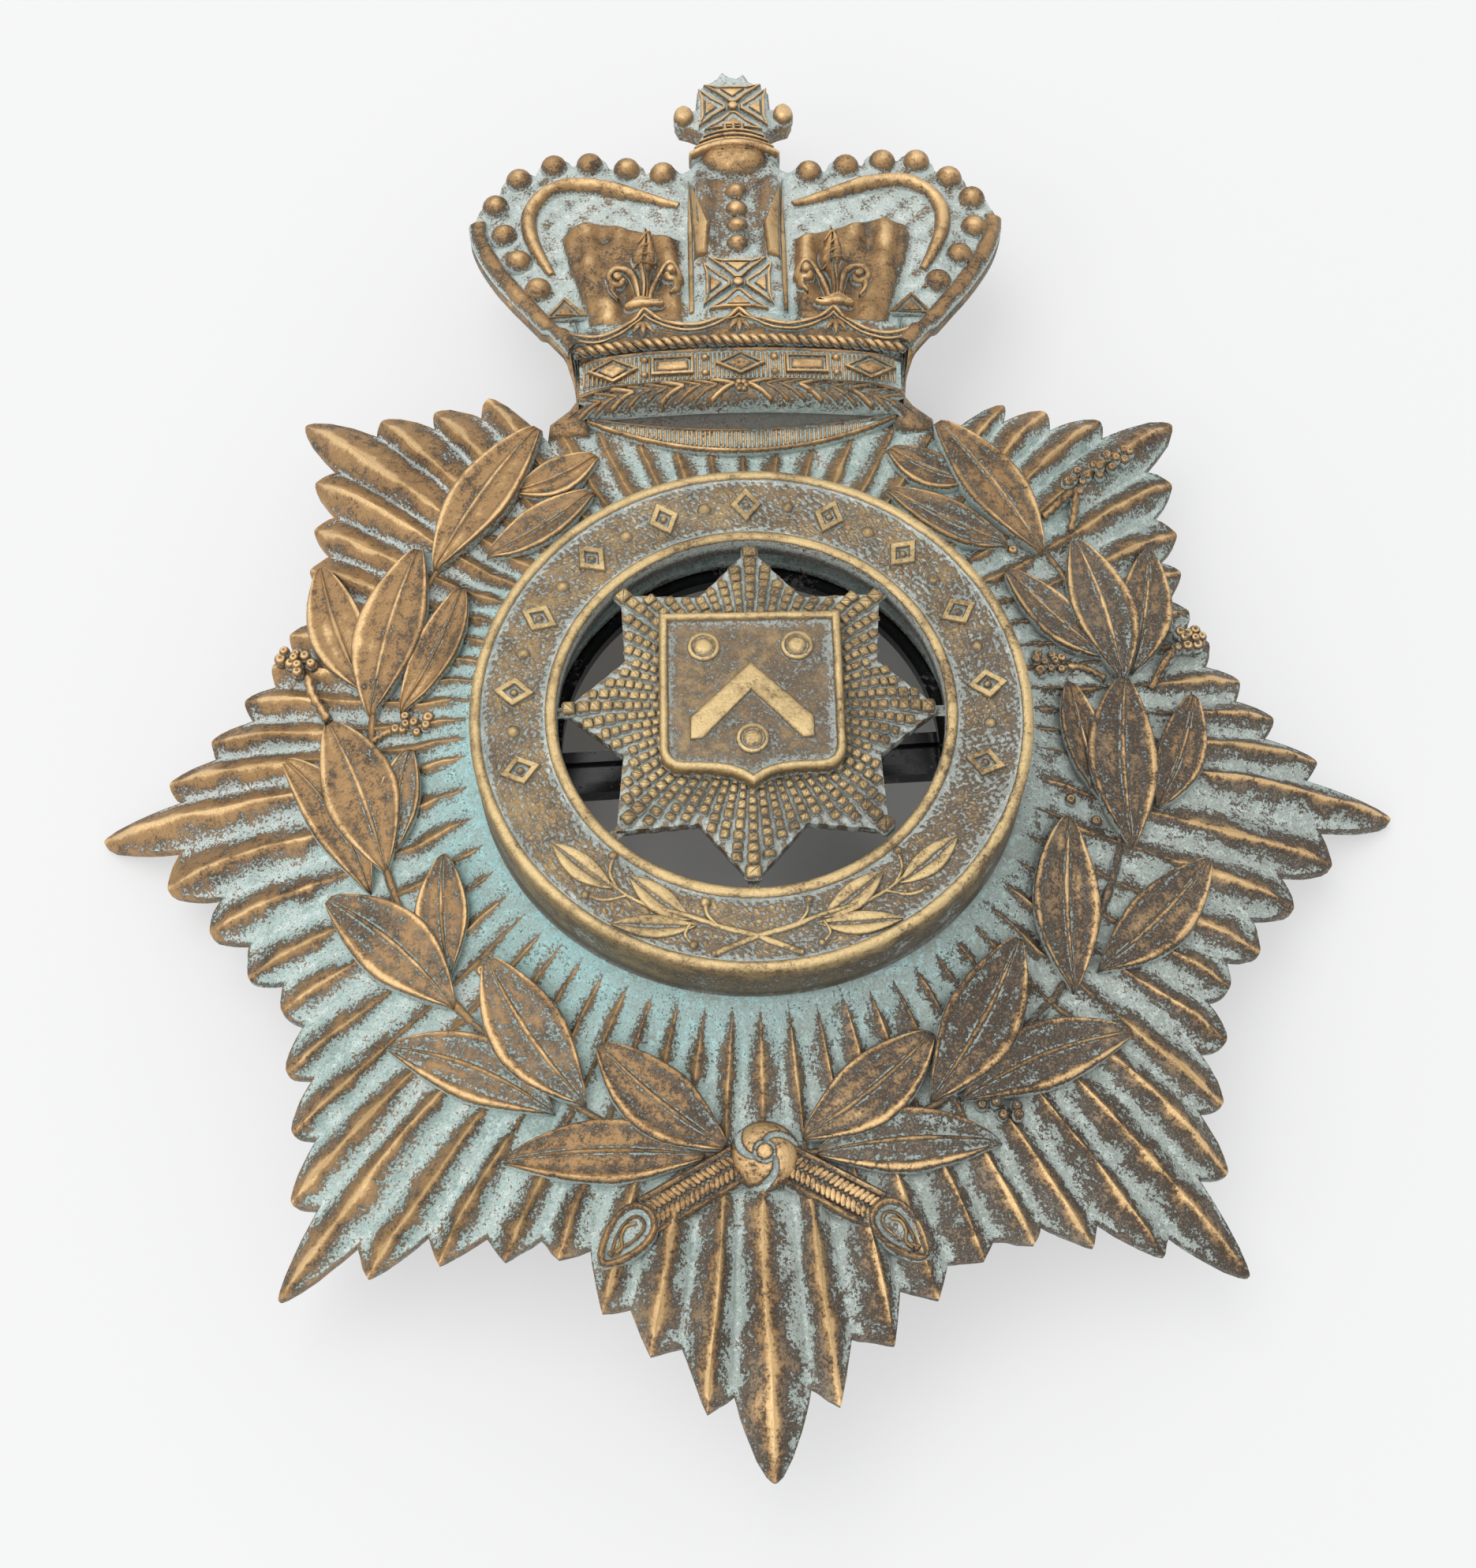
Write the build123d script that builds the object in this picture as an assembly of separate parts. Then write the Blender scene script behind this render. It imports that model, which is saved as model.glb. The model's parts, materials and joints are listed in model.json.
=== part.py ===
from build123d import *
from math import cos, radians, sin, sqrt
import os

# Helmet and cap plate of the universal star pattern: a struck star plate with crown and wreath,
# a separate centre held to it by three loops and split pins, and three loops to fasten it by.
# Millimetres. +X is the wearer's left, +Y points to the crown, +Z out of the front face.
# The pieces are laid out about the middle of the circlet and moved to the origin at the end.

# Star plate: reach of the points from the middle of the circlet
half_width = 52.3
low_reach = 52.8
diagonal_reach = 51.9
side_reaches = (46.8, 43.6, 41.4, 39.8)
hidden_reach = 34.0
hidden_angle = 21.0
notch = 1.3
low_diagonal_angle = 48.1
high_diagonal_angle = 43.7
rays_per_point = 8
sheet = 0.9
bend_across = 99.5
bend_down = 417.0
ray_rise = 1.2
tip_rise = 0.35
opening_radius = 15.2
boss_rise = 2.0
boss_radius = 21.2
boss_foot_radius = 25.8

# Wreath
leaf_rise = 0.9
midrib_rise = 0.5
leaf_depth = 0.5
knot_radius = 2.4
stem_end_width = 2.8

# Crown
crown_top = 72.0
crown_rise = 0.9
pearl_radius = 1.3
orb_radius = 3.4

# Centre: circlet, star and shield
circlet_outer = 20.52
circlet_inner = 14.12
circlet_sheet = 0.9
circlet_height = 6.5
wall = 0.92
rim_width = 1.0
rim_rise = 0.35
inner_lip = 3.1
star_tip_radius = 13.33
star_valley_radius = 9.8
star_step = 0.55
star_rise = 0.7
neck_width = 1.5
shield_half_width = 6.7
shield_top = 7.1
shield_low = 5.7
shield_point = 7.0
shield_corner = 1.7
shield_thickness = 1.5
shield_rim = 0.75
shield_field_depth = 0.5

# Backing ring and cross bar
ring_inner = 14.2
ring_outer = 19.3
ring_thickness = 1.0
bar_width = 3.5
bar_thickness = 1.4
bar_groove = 0.5
bar_edge = 0.9
bar_half_length = 20.9
bar_middle = -0.45
bar_tilt = 2.5

# Centre loops and split pins
loop_radius = 17.4
loop_wire = 0.9
loop_gap = 1.2
pin_diameter = 1.0
pin_length = 8.0
pin_slit = 0.12
pin_head_radius = 0.9
pin_head_wire = 0.7
pin_head_offset = 1.9
slot_clearance = 0.15
fit_gap = 0.05
ring_gap = 0.15

# Loops that fasten the plate
plate_loop_side = 25.0
plate_loop_low = 20.0
plate_loop_high = 58.0
eye_bore = 1.45
eye_wire = 1.6
eye_thickness = 1.6
foot_radius = 2.9
foot_thickness = 0.9
solder_film = 0.15

crest = sheet - tip_rise + bend_across - sqrt(bend_across**2 - half_width**2)
circlet_top = crest + circlet_height
star_plane = circlet_top - star_step
axis_height = crest - bend_across


def ground(x, y, offset=0.0):
    # Height of the plate's plain front, which is bent across and slightly bent down
    radius = bend_across + offset - (bend_down - sqrt(bend_down**2 - y**2))
    return axis_height + sqrt(radius**2 - x**2)


def polar(radius, angle):
    return (radius * cos(radians(angle)), radius * sin(radians(angle)))


def polyhedron(faces):
    return Solid(Shell([Face(Wire.make_polygon(points, close=True)) for points in faces]))


def struck_sheet(rings, thickness):
    # Sheet whose front passes through rings of points and whose back repeats it one thickness below
    drop = Vector(0, 0, -thickness)
    count = len(rings[0])
    faces = []
    for inner, outer in zip(rings, rings[1:]):
        for i in range(count):
            j = (i + 1) % count
            for triangle in ((inner[i], outer[i], outer[j]), (inner[i], outer[j], inner[j])):
                faces.append(triangle)
                faces.append([point + drop for point in triangle])
    for edge in (rings[0], rings[-1]):
        for i in range(count):
            j = (i + 1) % count
            faces.append((edge[i], edge[j], edge[j] + drop, edge[i] + drop))
    return polyhedron(faces)


def raised_patch(plan, rises, triangles, outline):
    # Low relief on the plate: front points at their own rise, foot sunk into the sheet
    front = [Vector(x, y, ground(x, y) + rise) for (x, y), rise in zip(plan, rises)]
    foot = [Vector(x, y, ground(x, y) - leaf_depth) for x, y in plan]
    faces = []
    for triangle in triangles:
        faces.append([front[i] for i in triangle])
        faces.append([foot[i] for i in triangle])
    for i, j in zip(outline, outline[1:] + outline[:1]):
        faces.append([front[i], front[j], foot[j], foot[i]])
    return polyhedron(faces)


def below_ground(offset):
    # All that lies under the plate's plain front raised by offset
    near, far = -60.0, 85.0
    deep = axis_height + bend_across / 2
    arc = ThreePointArc(
        (0, near, ground(0, near, offset)),
        (0, 0, ground(0, 0, offset)),
        (0, far, ground(0, far, offset)),
    )
    sides = Polyline(arc @ 1, (0, far, deep), (0, near, deep), arc @ 0)
    section = make_face([arc, sides])
    turned = section.rotate(Axis((0, 0, axis_height), (0, 1, 0)), -40)
    return revolve(turned, Axis((0, 0, axis_height), (0, 1, 0)), 80)


def slab(outline, rise):
    # Form of the crown: its outline raised above the plate's plain front and sunk into the sheet
    block = extrude(Pos(0, 0, -1) * outline, amount=circlet_top + 10)
    return block & (below_ground(rise) - below_ground(-leaf_depth))


def star_points():
    # Angle and reach of each ray, from the lowest point round to the left
    main = [
        (-90.0, low_reach),
        (-low_diagonal_angle, diagonal_reach),
        (0.0, half_width),
        (high_diagonal_angle, diagonal_reach),
        (90.0, hidden_reach),
        (180 - high_diagonal_angle, diagonal_reach),
        (180.0, half_width),
        (180 + low_diagonal_angle, diagonal_reach),
        (270.0, low_reach),
    ]
    rays = []
    for (angle, reach), (next_angle, _) in zip(main, main[1:]):
        rays.append((angle, reach))
        for step in range(1, rays_per_point):
            turned = angle + (next_angle - angle) * step / rays_per_point
            reach = side_reaches[min(step, rays_per_point - step) - 1]
            if abs(turned - 90) < hidden_angle:
                reach = hidden_reach
            rays.append((turned, reach))
    return rays


def star_field():
    # Rings of points alternate between the crest of each ray and the valley after it.
    # The middle is a raised boss, the seat of the circlet, and the rays start at its foot.
    rays = star_points()
    shares = ((0.0, 0.8), (0.6, 1.0))
    rings = [[] for _ in range(len(shares) + 3)]
    for i, (angle, reach) in enumerate(rays):
        before = min(reach, rays[i - 1][1]) - notch
        after_angle, after_reach = rays[(i + 1) % len(rays)]
        if after_angle < angle:
            after_angle += 360
        after = min(reach, after_reach) - notch
        spokes = (
            (angle, (before + after) / 2, reach, 1),
            ((angle + after_angle) / 2, after, after, 0),
        )
        for direction, shoulder, end, is_crest in spokes:
            stations = [(opening_radius, boss_rise), (boss_radius, boss_rise)]
            for share, height in shares:
                radius = boss_foot_radius + share * (shoulder - boss_foot_radius)
                stations.append((radius, height * ray_rise * is_crest))
            stations.append((end, tip_rise * is_crest))
            for ring, (radius, rise) in zip(rings, stations):
                x, y = polar(radius, direction)
                ring.append(Vector(x, y, ground(x, y) + rise))
    return struck_sheet(rings, sheet)


# Leaves of the left branch: tip, foot and width
wreath_leaves = (
    ((16.0, 30.0), (24.2, 18.2), 5.6),
    ((11.8, 23.2), (20.4, 18.8), 4.2),
    ((26.2, 19.7), (29.4, 6.6), 5.8),
    ((33.8, 20.2), (30.2, 8.4), 4.4),
    ((21.8, 15.8), (27.4, 7.4), 3.6),
    ((31.2, 6.0), (28.2, -7.4), 5.6),
    ((36.0, 4.8), (30.0, -6.0), 4.2),
    ((25.4, 3.8), (27.0, -5.0), 3.2),
    ((33.4, -8.8), (24.0, -17.8), 5.4),
    ((23.3, -6.7), (22.8, -17.3), 4.4),
    ((19.4, -15.9), (12.6, -27.0), 5.2),
    ((26.9, -22.0), (15.0, -27.4), 4.8),
    ((11.9, -23.0), (2.8, -30.4), 4.8),
    ((17.3, -30.7), (4.0, -31.2), 4.6),
    ((12.6, -38.4), (1.6, -32.2), stem_end_width),
)


def leaf(tip, foot, width):
    # Almond leaf with a roof of two slopes that meet at its midrib
    along = Vector(tip[0] - foot[0], tip[1] - foot[1])
    across = Vector(-along.Y, along.X).normalized() * (width / 2)
    start = Vector(*foot)
    stations = ((0.22, 0.62), (0.5, 1.0), (0.78, 0.66))
    right = [start + along * t - across * w for t, w in stations]
    left = [start + along * t + across * w for t, w in stations]
    middle = [start + along * t for t, _ in stations]
    end = start + along
    points = [start] + right + [end] + left[::-1] + middle
    plan = [(point.X, point.Y) for point in points]
    rises = [leaf_rise] * 8 + [leaf_rise + midrib_rise] * 3
    triangles = [
        (0, 1, 8), (1, 2, 8), (2, 9, 8), (2, 3, 9), (3, 10, 9), (3, 4, 10),
        (4, 5, 10), (5, 9, 10), (5, 6, 9), (6, 8, 9), (6, 7, 8), (7, 0, 8),
    ]
    return raised_patch(plan, rises, triangles, list(range(8)))


def wreath():
    leaves = []
    for tip, foot, width in wreath_leaves:
        leaves.append(leaf(tip, foot, width))
        leaves.append(leaf((-tip[0], tip[1]), (-foot[0], foot[1]), width))
    leaves.append(ball(0.0, -31.4, knot_radius, -0.4))
    return leaves


def both_sides(outline):
    return outline + mirror(outline, Plane.YZ)


def crown_outline():
    with BuildSketch() as outline:
        with BuildLine():
            lining = ThreePointArc((0, 26.6), (7.6, 27.8), (14.3, 31.2))
            band = Polyline(lining @ 1, (13.6, 33.4), (14.4, 36.8), (18.6, 43.0))
            flare = ThreePointArc(band @ 1, (22.2, 49.2), (23.3, 55.0))
            lobe = ThreePointArc(flare @ 1, (18.4, 60.7), (10.0, 60.3))
            dip = ThreePointArc(lobe @ 1, (7.0, 59.1), (4.3, 58.6))
            neck = Line(dip @ 1, (3.3, 62.8))
            knob = ThreePointArc(neck @ 1, (5.7, 65.4), (3.2, 67.2))
            Polyline(knob @ 1, (3.1, 69.2), (1.5, 69.9), (0.9, crown_top), (0, crown_top - 1.1))
            mirror(about=Plane.YZ)
        make_face()
    return outline.sketch


def side_arch():
    with BuildSketch() as outline:
        with BuildLine():
            outer = Polyline((14.4, 39.4), (16.2, 39.8), (18.6, 43.0))
            flare = ThreePointArc(outer @ 1, (22.2, 49.2), (23.3, 55.0))
            lobe = ThreePointArc(flare @ 1, (18.4, 60.7), (10.0, 60.3))
            dip = ThreePointArc(lobe @ 1, (7.0, 59.1), (3.0, 58.6))
            inner = Polyline(dip @ 1, (3.0, 54.2), (11.6, 56.4))
            bend = ThreePointArc(inner @ 1, (17.4, 55.6), (18.2, 51.0))
            ThreePointArc(bend @ 1, (17.2, 45.0), outer @ 0)
        make_face()
    return both_sides(outline.sketch)


def cross_outline(x, y, half):
    # Cross with arms that widen outwards
    waist = half * 0.24
    shape = Sketch()
    for turn in range(4):
        arm = Polygon((-waist, 0), (waist, 0), (half * 0.86, half), (-half * 0.86, half), align=None)
        shape += Rot(0, 0, 90 * turn) * arm
    return Pos(x, y) * shape


def lily_outline(x, y):
    # Three-petalled ornament on the crown's band
    petal = Polygon((0, 5.4), (1.2, 2.4), (0.6, -2.6), (-0.6, -2.6), (-1.2, 2.4), align=None)
    curl = Pos(2.0, 0.0) * Circle(1.1)
    foot = Pos(0, -2.6) * Rectangle(3.4, 0.9)
    return Pos(x, y) * (petal + curl + mirror(curl, Plane.YZ) + foot)


def ball(x, y, radius, lift, depth=leaf_depth):
    # Ball set in the plate's front, cut off inside the sheet
    foot = ground(x, y) - depth
    cut = Pos(x, y, foot - radius * 2) * Box(4 * radius, 4 * radius, 4 * radius)
    return Pos(x, y, ground(x, y) + lift) * Sphere(radius) - cut


def crown():
    band_height = 1.5
    forms = [
        slab(crown_outline(), crown_rise),
        slab(side_arch(), 1.8),
        slab(Pos(0, 47.6) * Rectangle(7.4, 19.0), 2.1),
        slab(both_sides(Polygon((4.4, 40.0), (14.2, 40.4), (14.6, 51.2), (12.4, 53.0), (4.4, 50.6), align=None)), 1.6),
        slab(Pos(0, 35.2) * Rectangle(27.6, 3.6), band_height),
        slab(Pos(0, 38.4) * Rectangle(28.6, 2.8), band_height + 0.4),
        slab(Pos(0, 32.0) * Rectangle(27.8, 2.9), band_height + 0.9),
        slab(cross_outline(0, 66.0, 3.1), 1.9),
        slab(cross_outline(0, 43.8, 2.8), 2.7),
        slab(both_sides(lily_outline(7.9, 44.0)), 2.2),
        ball(0, 57.8, orb_radius, -0.2, depth=0),
    ]
    arch_pearls = (
        (6.4, 57.7), (9.6, 58.7), (12.9, 59.6), (16.1, 60.0), (19.0, 58.6),
        (20.9, 56.0), (20.3, 52.4), (18.9, 48.9), (17.0, 45.4),
    )
    for x, y in arch_pearls:
        forms.append(ball(x, y, pearl_radius, 1.5))
        forms.append(ball(-x, y, pearl_radius, 1.5))
    for row in range(4):
        forms.append(ball(0, 48.6 + 2.1 * row, 1.05, 2.0))
    for x in (-4.4, 4.4):
        forms.append(ball(x, 65.4, pearl_radius, 0.6))
    return forms


def loop_places():
    # Place of each centre loop and the direction in which its pin is drawn out
    reach = loop_radius * cos(radians(bar_tilt))
    rise = loop_radius * sin(radians(bar_tilt))
    return {
        "left": (reach, bar_middle + rise, 90),
        "right": (-reach, bar_middle - rise, 90),
        "bottom": (0.0, -loop_radius, 0),
    }


def loop_slot(x, y, angle, top, bottom):
    # Slot for the two legs of a centre loop
    long = loop_gap + 2 * loop_wire + 2 * slot_clearance
    short = loop_wire + 2 * slot_clearance
    return Pos(x, y, (top + bottom) / 2) * Rot(0, 0, angle) * Box(short, long, top - bottom)


def star_plate():
    plate = star_field()
    for x, y, angle in loop_places().values():
        plate -= loop_slot(x, y, angle, circlet_top, crest - 4)
    return plate.fuse(*crown(), *wreath())


def circlet():
    top, low = circlet_top, circlet_top - circlet_sheet
    floor = top - rim_rise
    profile = Polygon(
        (circlet_inner, top),
        (circlet_inner + rim_width, top),
        (circlet_inner + rim_width + 0.15, floor),
        (circlet_outer - rim_width - 0.15, floor),
        (circlet_outer - rim_width, top),
        (circlet_outer - 0.25, top),
        (circlet_outer, top - 0.25),
        (circlet_outer, crest - 8),
        (circlet_outer - wall, crest - 8),
        (circlet_outer - wall, low),
        (circlet_inner + 0.7, low),
        (circlet_inner + 0.7, top - inner_lip),
        (circlet_inner, top - inner_lip),
        align=None,
    )
    ring = revolve(Plane.XZ * profile, Axis.Z)
    return ring - below_ground(boss_rise + fit_gap)


def star_rings():
    # Table, shoulder and edge of the centre star, eight points with a crest along each
    table, shoulder, edge = [], [], []
    for point in range(8):
        angle = 45.0 * point
        tip, valley = angle, angle + 22.5
        table.append(Vector(*polar(4.0, tip), star_plane + star_rise))
        table.append(Vector(*polar(4.0, valley), star_plane + star_rise))
        shoulder.append(Vector(*polar(10.4, tip), star_plane + star_rise))
        shoulder.append(Vector(*polar(9.1, valley), star_plane + star_rise))
        edge.append(Vector(*polar(star_tip_radius, tip), star_plane))
        edge.append(Vector(*polar(star_valley_radius, valley), star_plane + 0.3))
    return table, shoulder, edge


def centre_star():
    # The middle is closed by a flat disc; a short neck joins each tip to the circlet
    table, shoulder, edge = star_rings()
    star = struck_sheet((table, shoulder, edge), circlet_sheet)
    middle = Pos(0, 0, star_plane + star_rise - circlet_sheet / 2) * Cylinder(4.4, circlet_sheet)
    star = star.fuse(middle)
    reach = circlet_inner - star_tip_radius + 1.4
    for point in range(8):
        neck = Pos(circlet_inner - reach / 2, 0, star_plane - 0.35) * Box(reach, neck_width, 0.7)
        star = star.fuse(Rot(0, 0, 45.0 * point) * neck)
    return star & Pos(0, 0, star_plane) * Cylinder(circlet_inner, 6)


def shield_outline():
    with BuildSketch() as outline:
        with BuildLine():
            side = Polyline(
                (0, shield_top),
                (shield_half_width, shield_top),
                (shield_half_width, shield_corner - shield_low),
            )
            corner = ThreePointArc(
                side @ 1,
                (shield_half_width - 0.3 * shield_corner, 0.3 * shield_corner - shield_low),
                (shield_half_width - shield_corner, -shield_low),
            )
            ThreePointArc(corner @ 1, (2.2, -shield_low - 0.15), (0, -shield_point))
            mirror(about=Plane.YZ)
        make_face()
    return outline.sketch


def chevron():
    # Plain device on the shield: a chevron between three roundels
    bar = Polygon((-4.2, -3.0), (0, 1.0), (4.2, -3.0), (4.2, -1.2), (0, 2.8), (-4.2, -1.2), align=None)
    roundel = Circle(1.1)
    return bar + Pos(-3.4, 3.8) * roundel + Pos(3.4, 3.8) * roundel + Pos(0, -3.2) * roundel


def centre_shield():
    seat = star_plane + star_rise
    outline = shield_outline()
    field = offset(outline, -shield_rim)
    block = Pos(0, 0, seat) * extrude(outline, amount=shield_thickness)
    sunk = Pos(0, 0, seat + shield_thickness - shield_field_depth) * extrude(field, amount=1)
    device = Pos(0, 0, seat + shield_thickness - shield_field_depth) * extrude(chevron(), amount=0.45)
    return block - sunk + device


def backing_ring():
    annulus = Circle(ring_outer) - Circle(ring_inner)
    ring = extrude(annulus, amount=circlet_top)
    front = boss_rise - sheet - ring_gap
    ring = ring & (below_ground(front) - below_ground(front - ring_thickness))
    for x, y, angle in loop_places().values():
        ring -= loop_slot(x, y, angle, circlet_top, crest - 6)
    return ring


def ring_back(x, y):
    return ground(x, y, boss_rise - sheet - ring_gap - ring_thickness)


def bar_top():
    return ring_back(ring_outer, 0) - fit_gap


def cross_bar():
    # Flat bar with a groove along its front, slotted at both ends for the loops
    bar = extrude(SlotOverall(2 * bar_half_length, bar_width), amount=bar_thickness)
    groove = Pos(0, 0, bar_thickness) * Box(
        2 * (loop_radius - 2.6), bar_width - 2 * bar_edge, 2 * bar_groove
    )
    placed = Pos(0, bar_middle, bar_top() - bar_thickness) * Rot(0, 0, bar_tilt) * (bar - groove)
    for name in ("left", "right"):
        x, y, angle = loop_places()[name]
        placed -= loop_slot(x, y, angle, bar_top() + 1, bar_top() - bar_thickness - 1)
    return placed


def pin_height(name):
    # Middle of each split pin, just behind what it holds
    if name == "bottom":
        behind = ring_back(sqrt(ring_outer**2 - loop_radius**2), -loop_radius)
    else:
        behind = bar_top() - bar_thickness
    return behind - fit_gap - pin_diameter / 2


def centre_loop(name):
    # Bent wire: two legs from the back of the circlet, closed by a half round behind the pin
    x, y, angle = loop_places()[name]
    centre = pin_height(name)
    half = (loop_gap + loop_wire) / 2
    top = circlet_top - circlet_sheet
    with BuildPart() as wire:
        with BuildLine() as path:
            down = Line((0, -half, top), (0, -half, centre))
            turn = ThreePointArc(down @ 1, (0, 0, centre - half), (0, half, centre))
            Line(turn @ 1, (0, half, top))
        with BuildSketch(Plane(origin=(0, -half, top), z_dir=(0, 0, -1))):
            Circle(loop_wire / 2)
        sweep()
    return Pos(x, y, 0) * Rot(0, 0, angle) * wire.part


def split_pin(name):
    # Two half-round legs side by side and a round eye, drawn out along its own length
    x, y, angle = loop_places()[name]
    legs = Rot(0, 90, 0) * Cylinder(pin_diameter / 2, pin_length)
    legs -= Pos(-pin_head_offset, 0, 0) * Box(pin_length, 2 * pin_diameter, pin_slit)
    eye_middle = pin_length / 2 + pin_head_radius - pin_head_wire / 4
    eye = Pos(eye_middle, 0, 0) * Torus(pin_head_radius, pin_head_wire / 2)
    return Pos(x, y, pin_height(name)) * Rot(0, 0, angle) * (legs + eye)


def plate_loop(x, y, depth):
    # Flattened eye on a shank; its round foot lies a solder film behind the back at that depth
    centre = eye_bore + eye_wire
    back = ground(x, y, -depth)
    eye = Pos(x, y, centre) * Rot(0, 90, 0) * Cylinder(eye_bore + eye_wire, eye_thickness)
    shank_top = back - foot_thickness
    shank = Pos(x, y, (centre + shank_top) / 2) * Box(eye_thickness, 2.6, shank_top - centre)
    foot = Pos(x, y, shank_top + foot_radius / 2) * Cylinder(foot_radius, foot_radius)
    foot = foot & below_ground(-depth - solder_film)
    bore = Pos(x, y, centre) * Rot(0, 90, 0) * Cylinder(eye_bore, 3 * eye_thickness)
    return eye + shank + foot - bore


def build():
    nodes = {
        "star_plate": star_plate(),
        "circlet": circlet(),
        "centre_star": centre_star(),
        "centre_shield": centre_shield(),
        "backing_ring": backing_ring(),
        "cross_bar": cross_bar(),
        "plate_loop_top": plate_loop(0, plate_loop_high, leaf_depth),
        "plate_loop_left": plate_loop(plate_loop_side, -plate_loop_low, sheet),
        "plate_loop_right": plate_loop(-plate_loop_side, -plate_loop_low, sheet),
    }
    for name in loop_places():
        nodes["centre_loop_" + name] = centre_loop(name)
        nodes["split_pin_" + name] = split_pin(name)
    return nodes


os.makedirs("parts", exist_ok=True)
to_origin = Pos(0, (low_reach - crown_top) / 2, 0)
for node, shape in build().items():
    export_step(to_origin * shape, "parts/" + node + ".step")
    print(node, round(shape.volume, 1))
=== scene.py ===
import json
import math

import bpy
import numpy as np
from mathutils import Matrix, Vector


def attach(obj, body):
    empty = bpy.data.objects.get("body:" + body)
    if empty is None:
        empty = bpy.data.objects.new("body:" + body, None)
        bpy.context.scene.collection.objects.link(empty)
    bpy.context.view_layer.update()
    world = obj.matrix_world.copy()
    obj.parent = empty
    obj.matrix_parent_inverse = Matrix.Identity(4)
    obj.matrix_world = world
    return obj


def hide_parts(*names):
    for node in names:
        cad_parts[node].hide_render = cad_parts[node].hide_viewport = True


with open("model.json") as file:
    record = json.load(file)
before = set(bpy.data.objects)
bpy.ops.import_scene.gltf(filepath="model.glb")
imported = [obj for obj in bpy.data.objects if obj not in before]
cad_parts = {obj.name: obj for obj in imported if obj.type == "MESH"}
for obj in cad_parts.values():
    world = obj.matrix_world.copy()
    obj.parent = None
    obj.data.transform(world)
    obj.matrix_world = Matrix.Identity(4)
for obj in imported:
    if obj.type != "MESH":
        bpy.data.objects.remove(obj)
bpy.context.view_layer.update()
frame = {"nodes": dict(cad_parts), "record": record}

# Work is done in millimetres about the middle of the circlet, and moved to the row frame at the end
layout = {"scale": 0.001, "shiftY": -9.6}


def stage(text):
    print("badge:", text)


# ---- small tools ----


def addNode(tree, kind, settings=None, inputs=None):
    node = tree.nodes.new(kind)
    for key, value in (settings or {}).items():
        if key == "stops":
            ramp = node.color_ramp
            while len(ramp.elements) < len(value):
                ramp.elements.new(0.5)
            for element, (at, colour) in zip(ramp.elements, value):
                element.position = at
                element.color = colour
        else:
            setattr(node, key, value)
    for key, value in (inputs or {}).items():
        if isinstance(value, Wire):
            tree.links.new(value.out, node.inputs[key])
        else:
            node.inputs[key].default_value = value
    return node


class Wire:
    # a node's output; sums on it add Math nodes
    def __init__(self, tree, out):
        self.tree, self.out = tree, out

    def math(self, operation, *values):
        node = addNode(self.tree, "ShaderNodeMath", {"operation": operation}, dict(enumerate(values)))
        return Wire(self.tree, node.outputs[0])

    def __add__(self, other):
        return self.math("ADD", self, other)

    def __sub__(self, other):
        return self.math("SUBTRACT", self, other)

    def __rsub__(self, other):
        return self.math("SUBTRACT", other, self)

    def __mul__(self, other):
        return self.math("MULTIPLY", self, other)

    def __pow__(self, other):
        return self.math("POWER", self, other)

    __radd__ = __add__
    __rmul__ = __mul__


class Tree:
    # one node tree with a method that adds any node and returns one of its outputs
    def __init__(self, tree):
        self.tree = tree

    def add(self, kind, settings=None, inputs=None, out=0):
        node = addNode(self.tree, kind, settings, inputs)
        return Wire(self.tree, node.outputs[out]) if node.outputs else node

    def step(self, value, low, high):
        # smooth step from low to high
        return self.add("ShaderNodeMapRange", {"interpolation_type": "SMOOTHSTEP"},
                        {"Value": value, "From Min": low, "From Max": high})

    def mix(self, share, first, second):
        # colour mix
        return self.add("ShaderNodeMix", {"data_type": "RGBA"}, {0: share, 6: first, 7: second}, out=2)


def freshTree(owner):
    # empty node tree of a material or a world
    owner.use_nodes = True
    owner.node_tree.nodes.clear()
    return Tree(owner.node_tree)


def finished(material, t, colour, rough, bump, metal=0.0):
    shader = t.add("ShaderNodeBsdfPrincipled", inputs={
        "Base Color": colour, "Metallic": metal, "Roughness": rough, "Normal": bump})
    t.add("ShaderNodeOutputMaterial", inputs={"Surface": shader})
    return material


def smooth(value, low, high):
    t = np.clip((np.asarray(value, float) - low) / (high - low), 0, 1)
    return t * t * (3 - 2 * t)


def ripple(x, y, size, seed):
    # soft seeded waves about size across, from -1 to 1
    rng = np.random.default_rng(seed)
    total = 0.0
    for _ in range(7):
        angle, phase = rng.uniform(0, 2 * math.pi, 2)
        pace = 2 * math.pi / (size * rng.uniform(0.7, 1.5))
        total = total + np.sin(pace * (x * math.cos(angle) + y * math.sin(angle)) + phase)
    return total / 4.0


def curveThrough(points, count):
    # smooth line through the points, evenly stepped
    p = np.asarray(points, float)
    p = np.vstack([2 * p[0] - p[1], p, 2 * p[-1] - p[-2]])
    t = np.linspace(0, 1, 24, endpoint=False)[:, None]
    line = []
    for a, b, c, d in zip(p, p[1:], p[2:], p[3:]):
        line.append(0.5 * (2 * b + (c - a) * t + (2 * a - 5 * b + 4 * c - d) * t**2
                           + (3 * b - a - 3 * c + d) * t**3))
    line = np.vstack(line + [p[-2:-1]])
    run = np.r_[0, np.cumsum(np.linalg.norm(np.diff(line, axis=0), axis=1))]
    at = np.linspace(0, run[-1], count)
    return np.stack([np.interp(at, run, line[:, k]) for k in range(p.shape[1])], axis=1)


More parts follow.
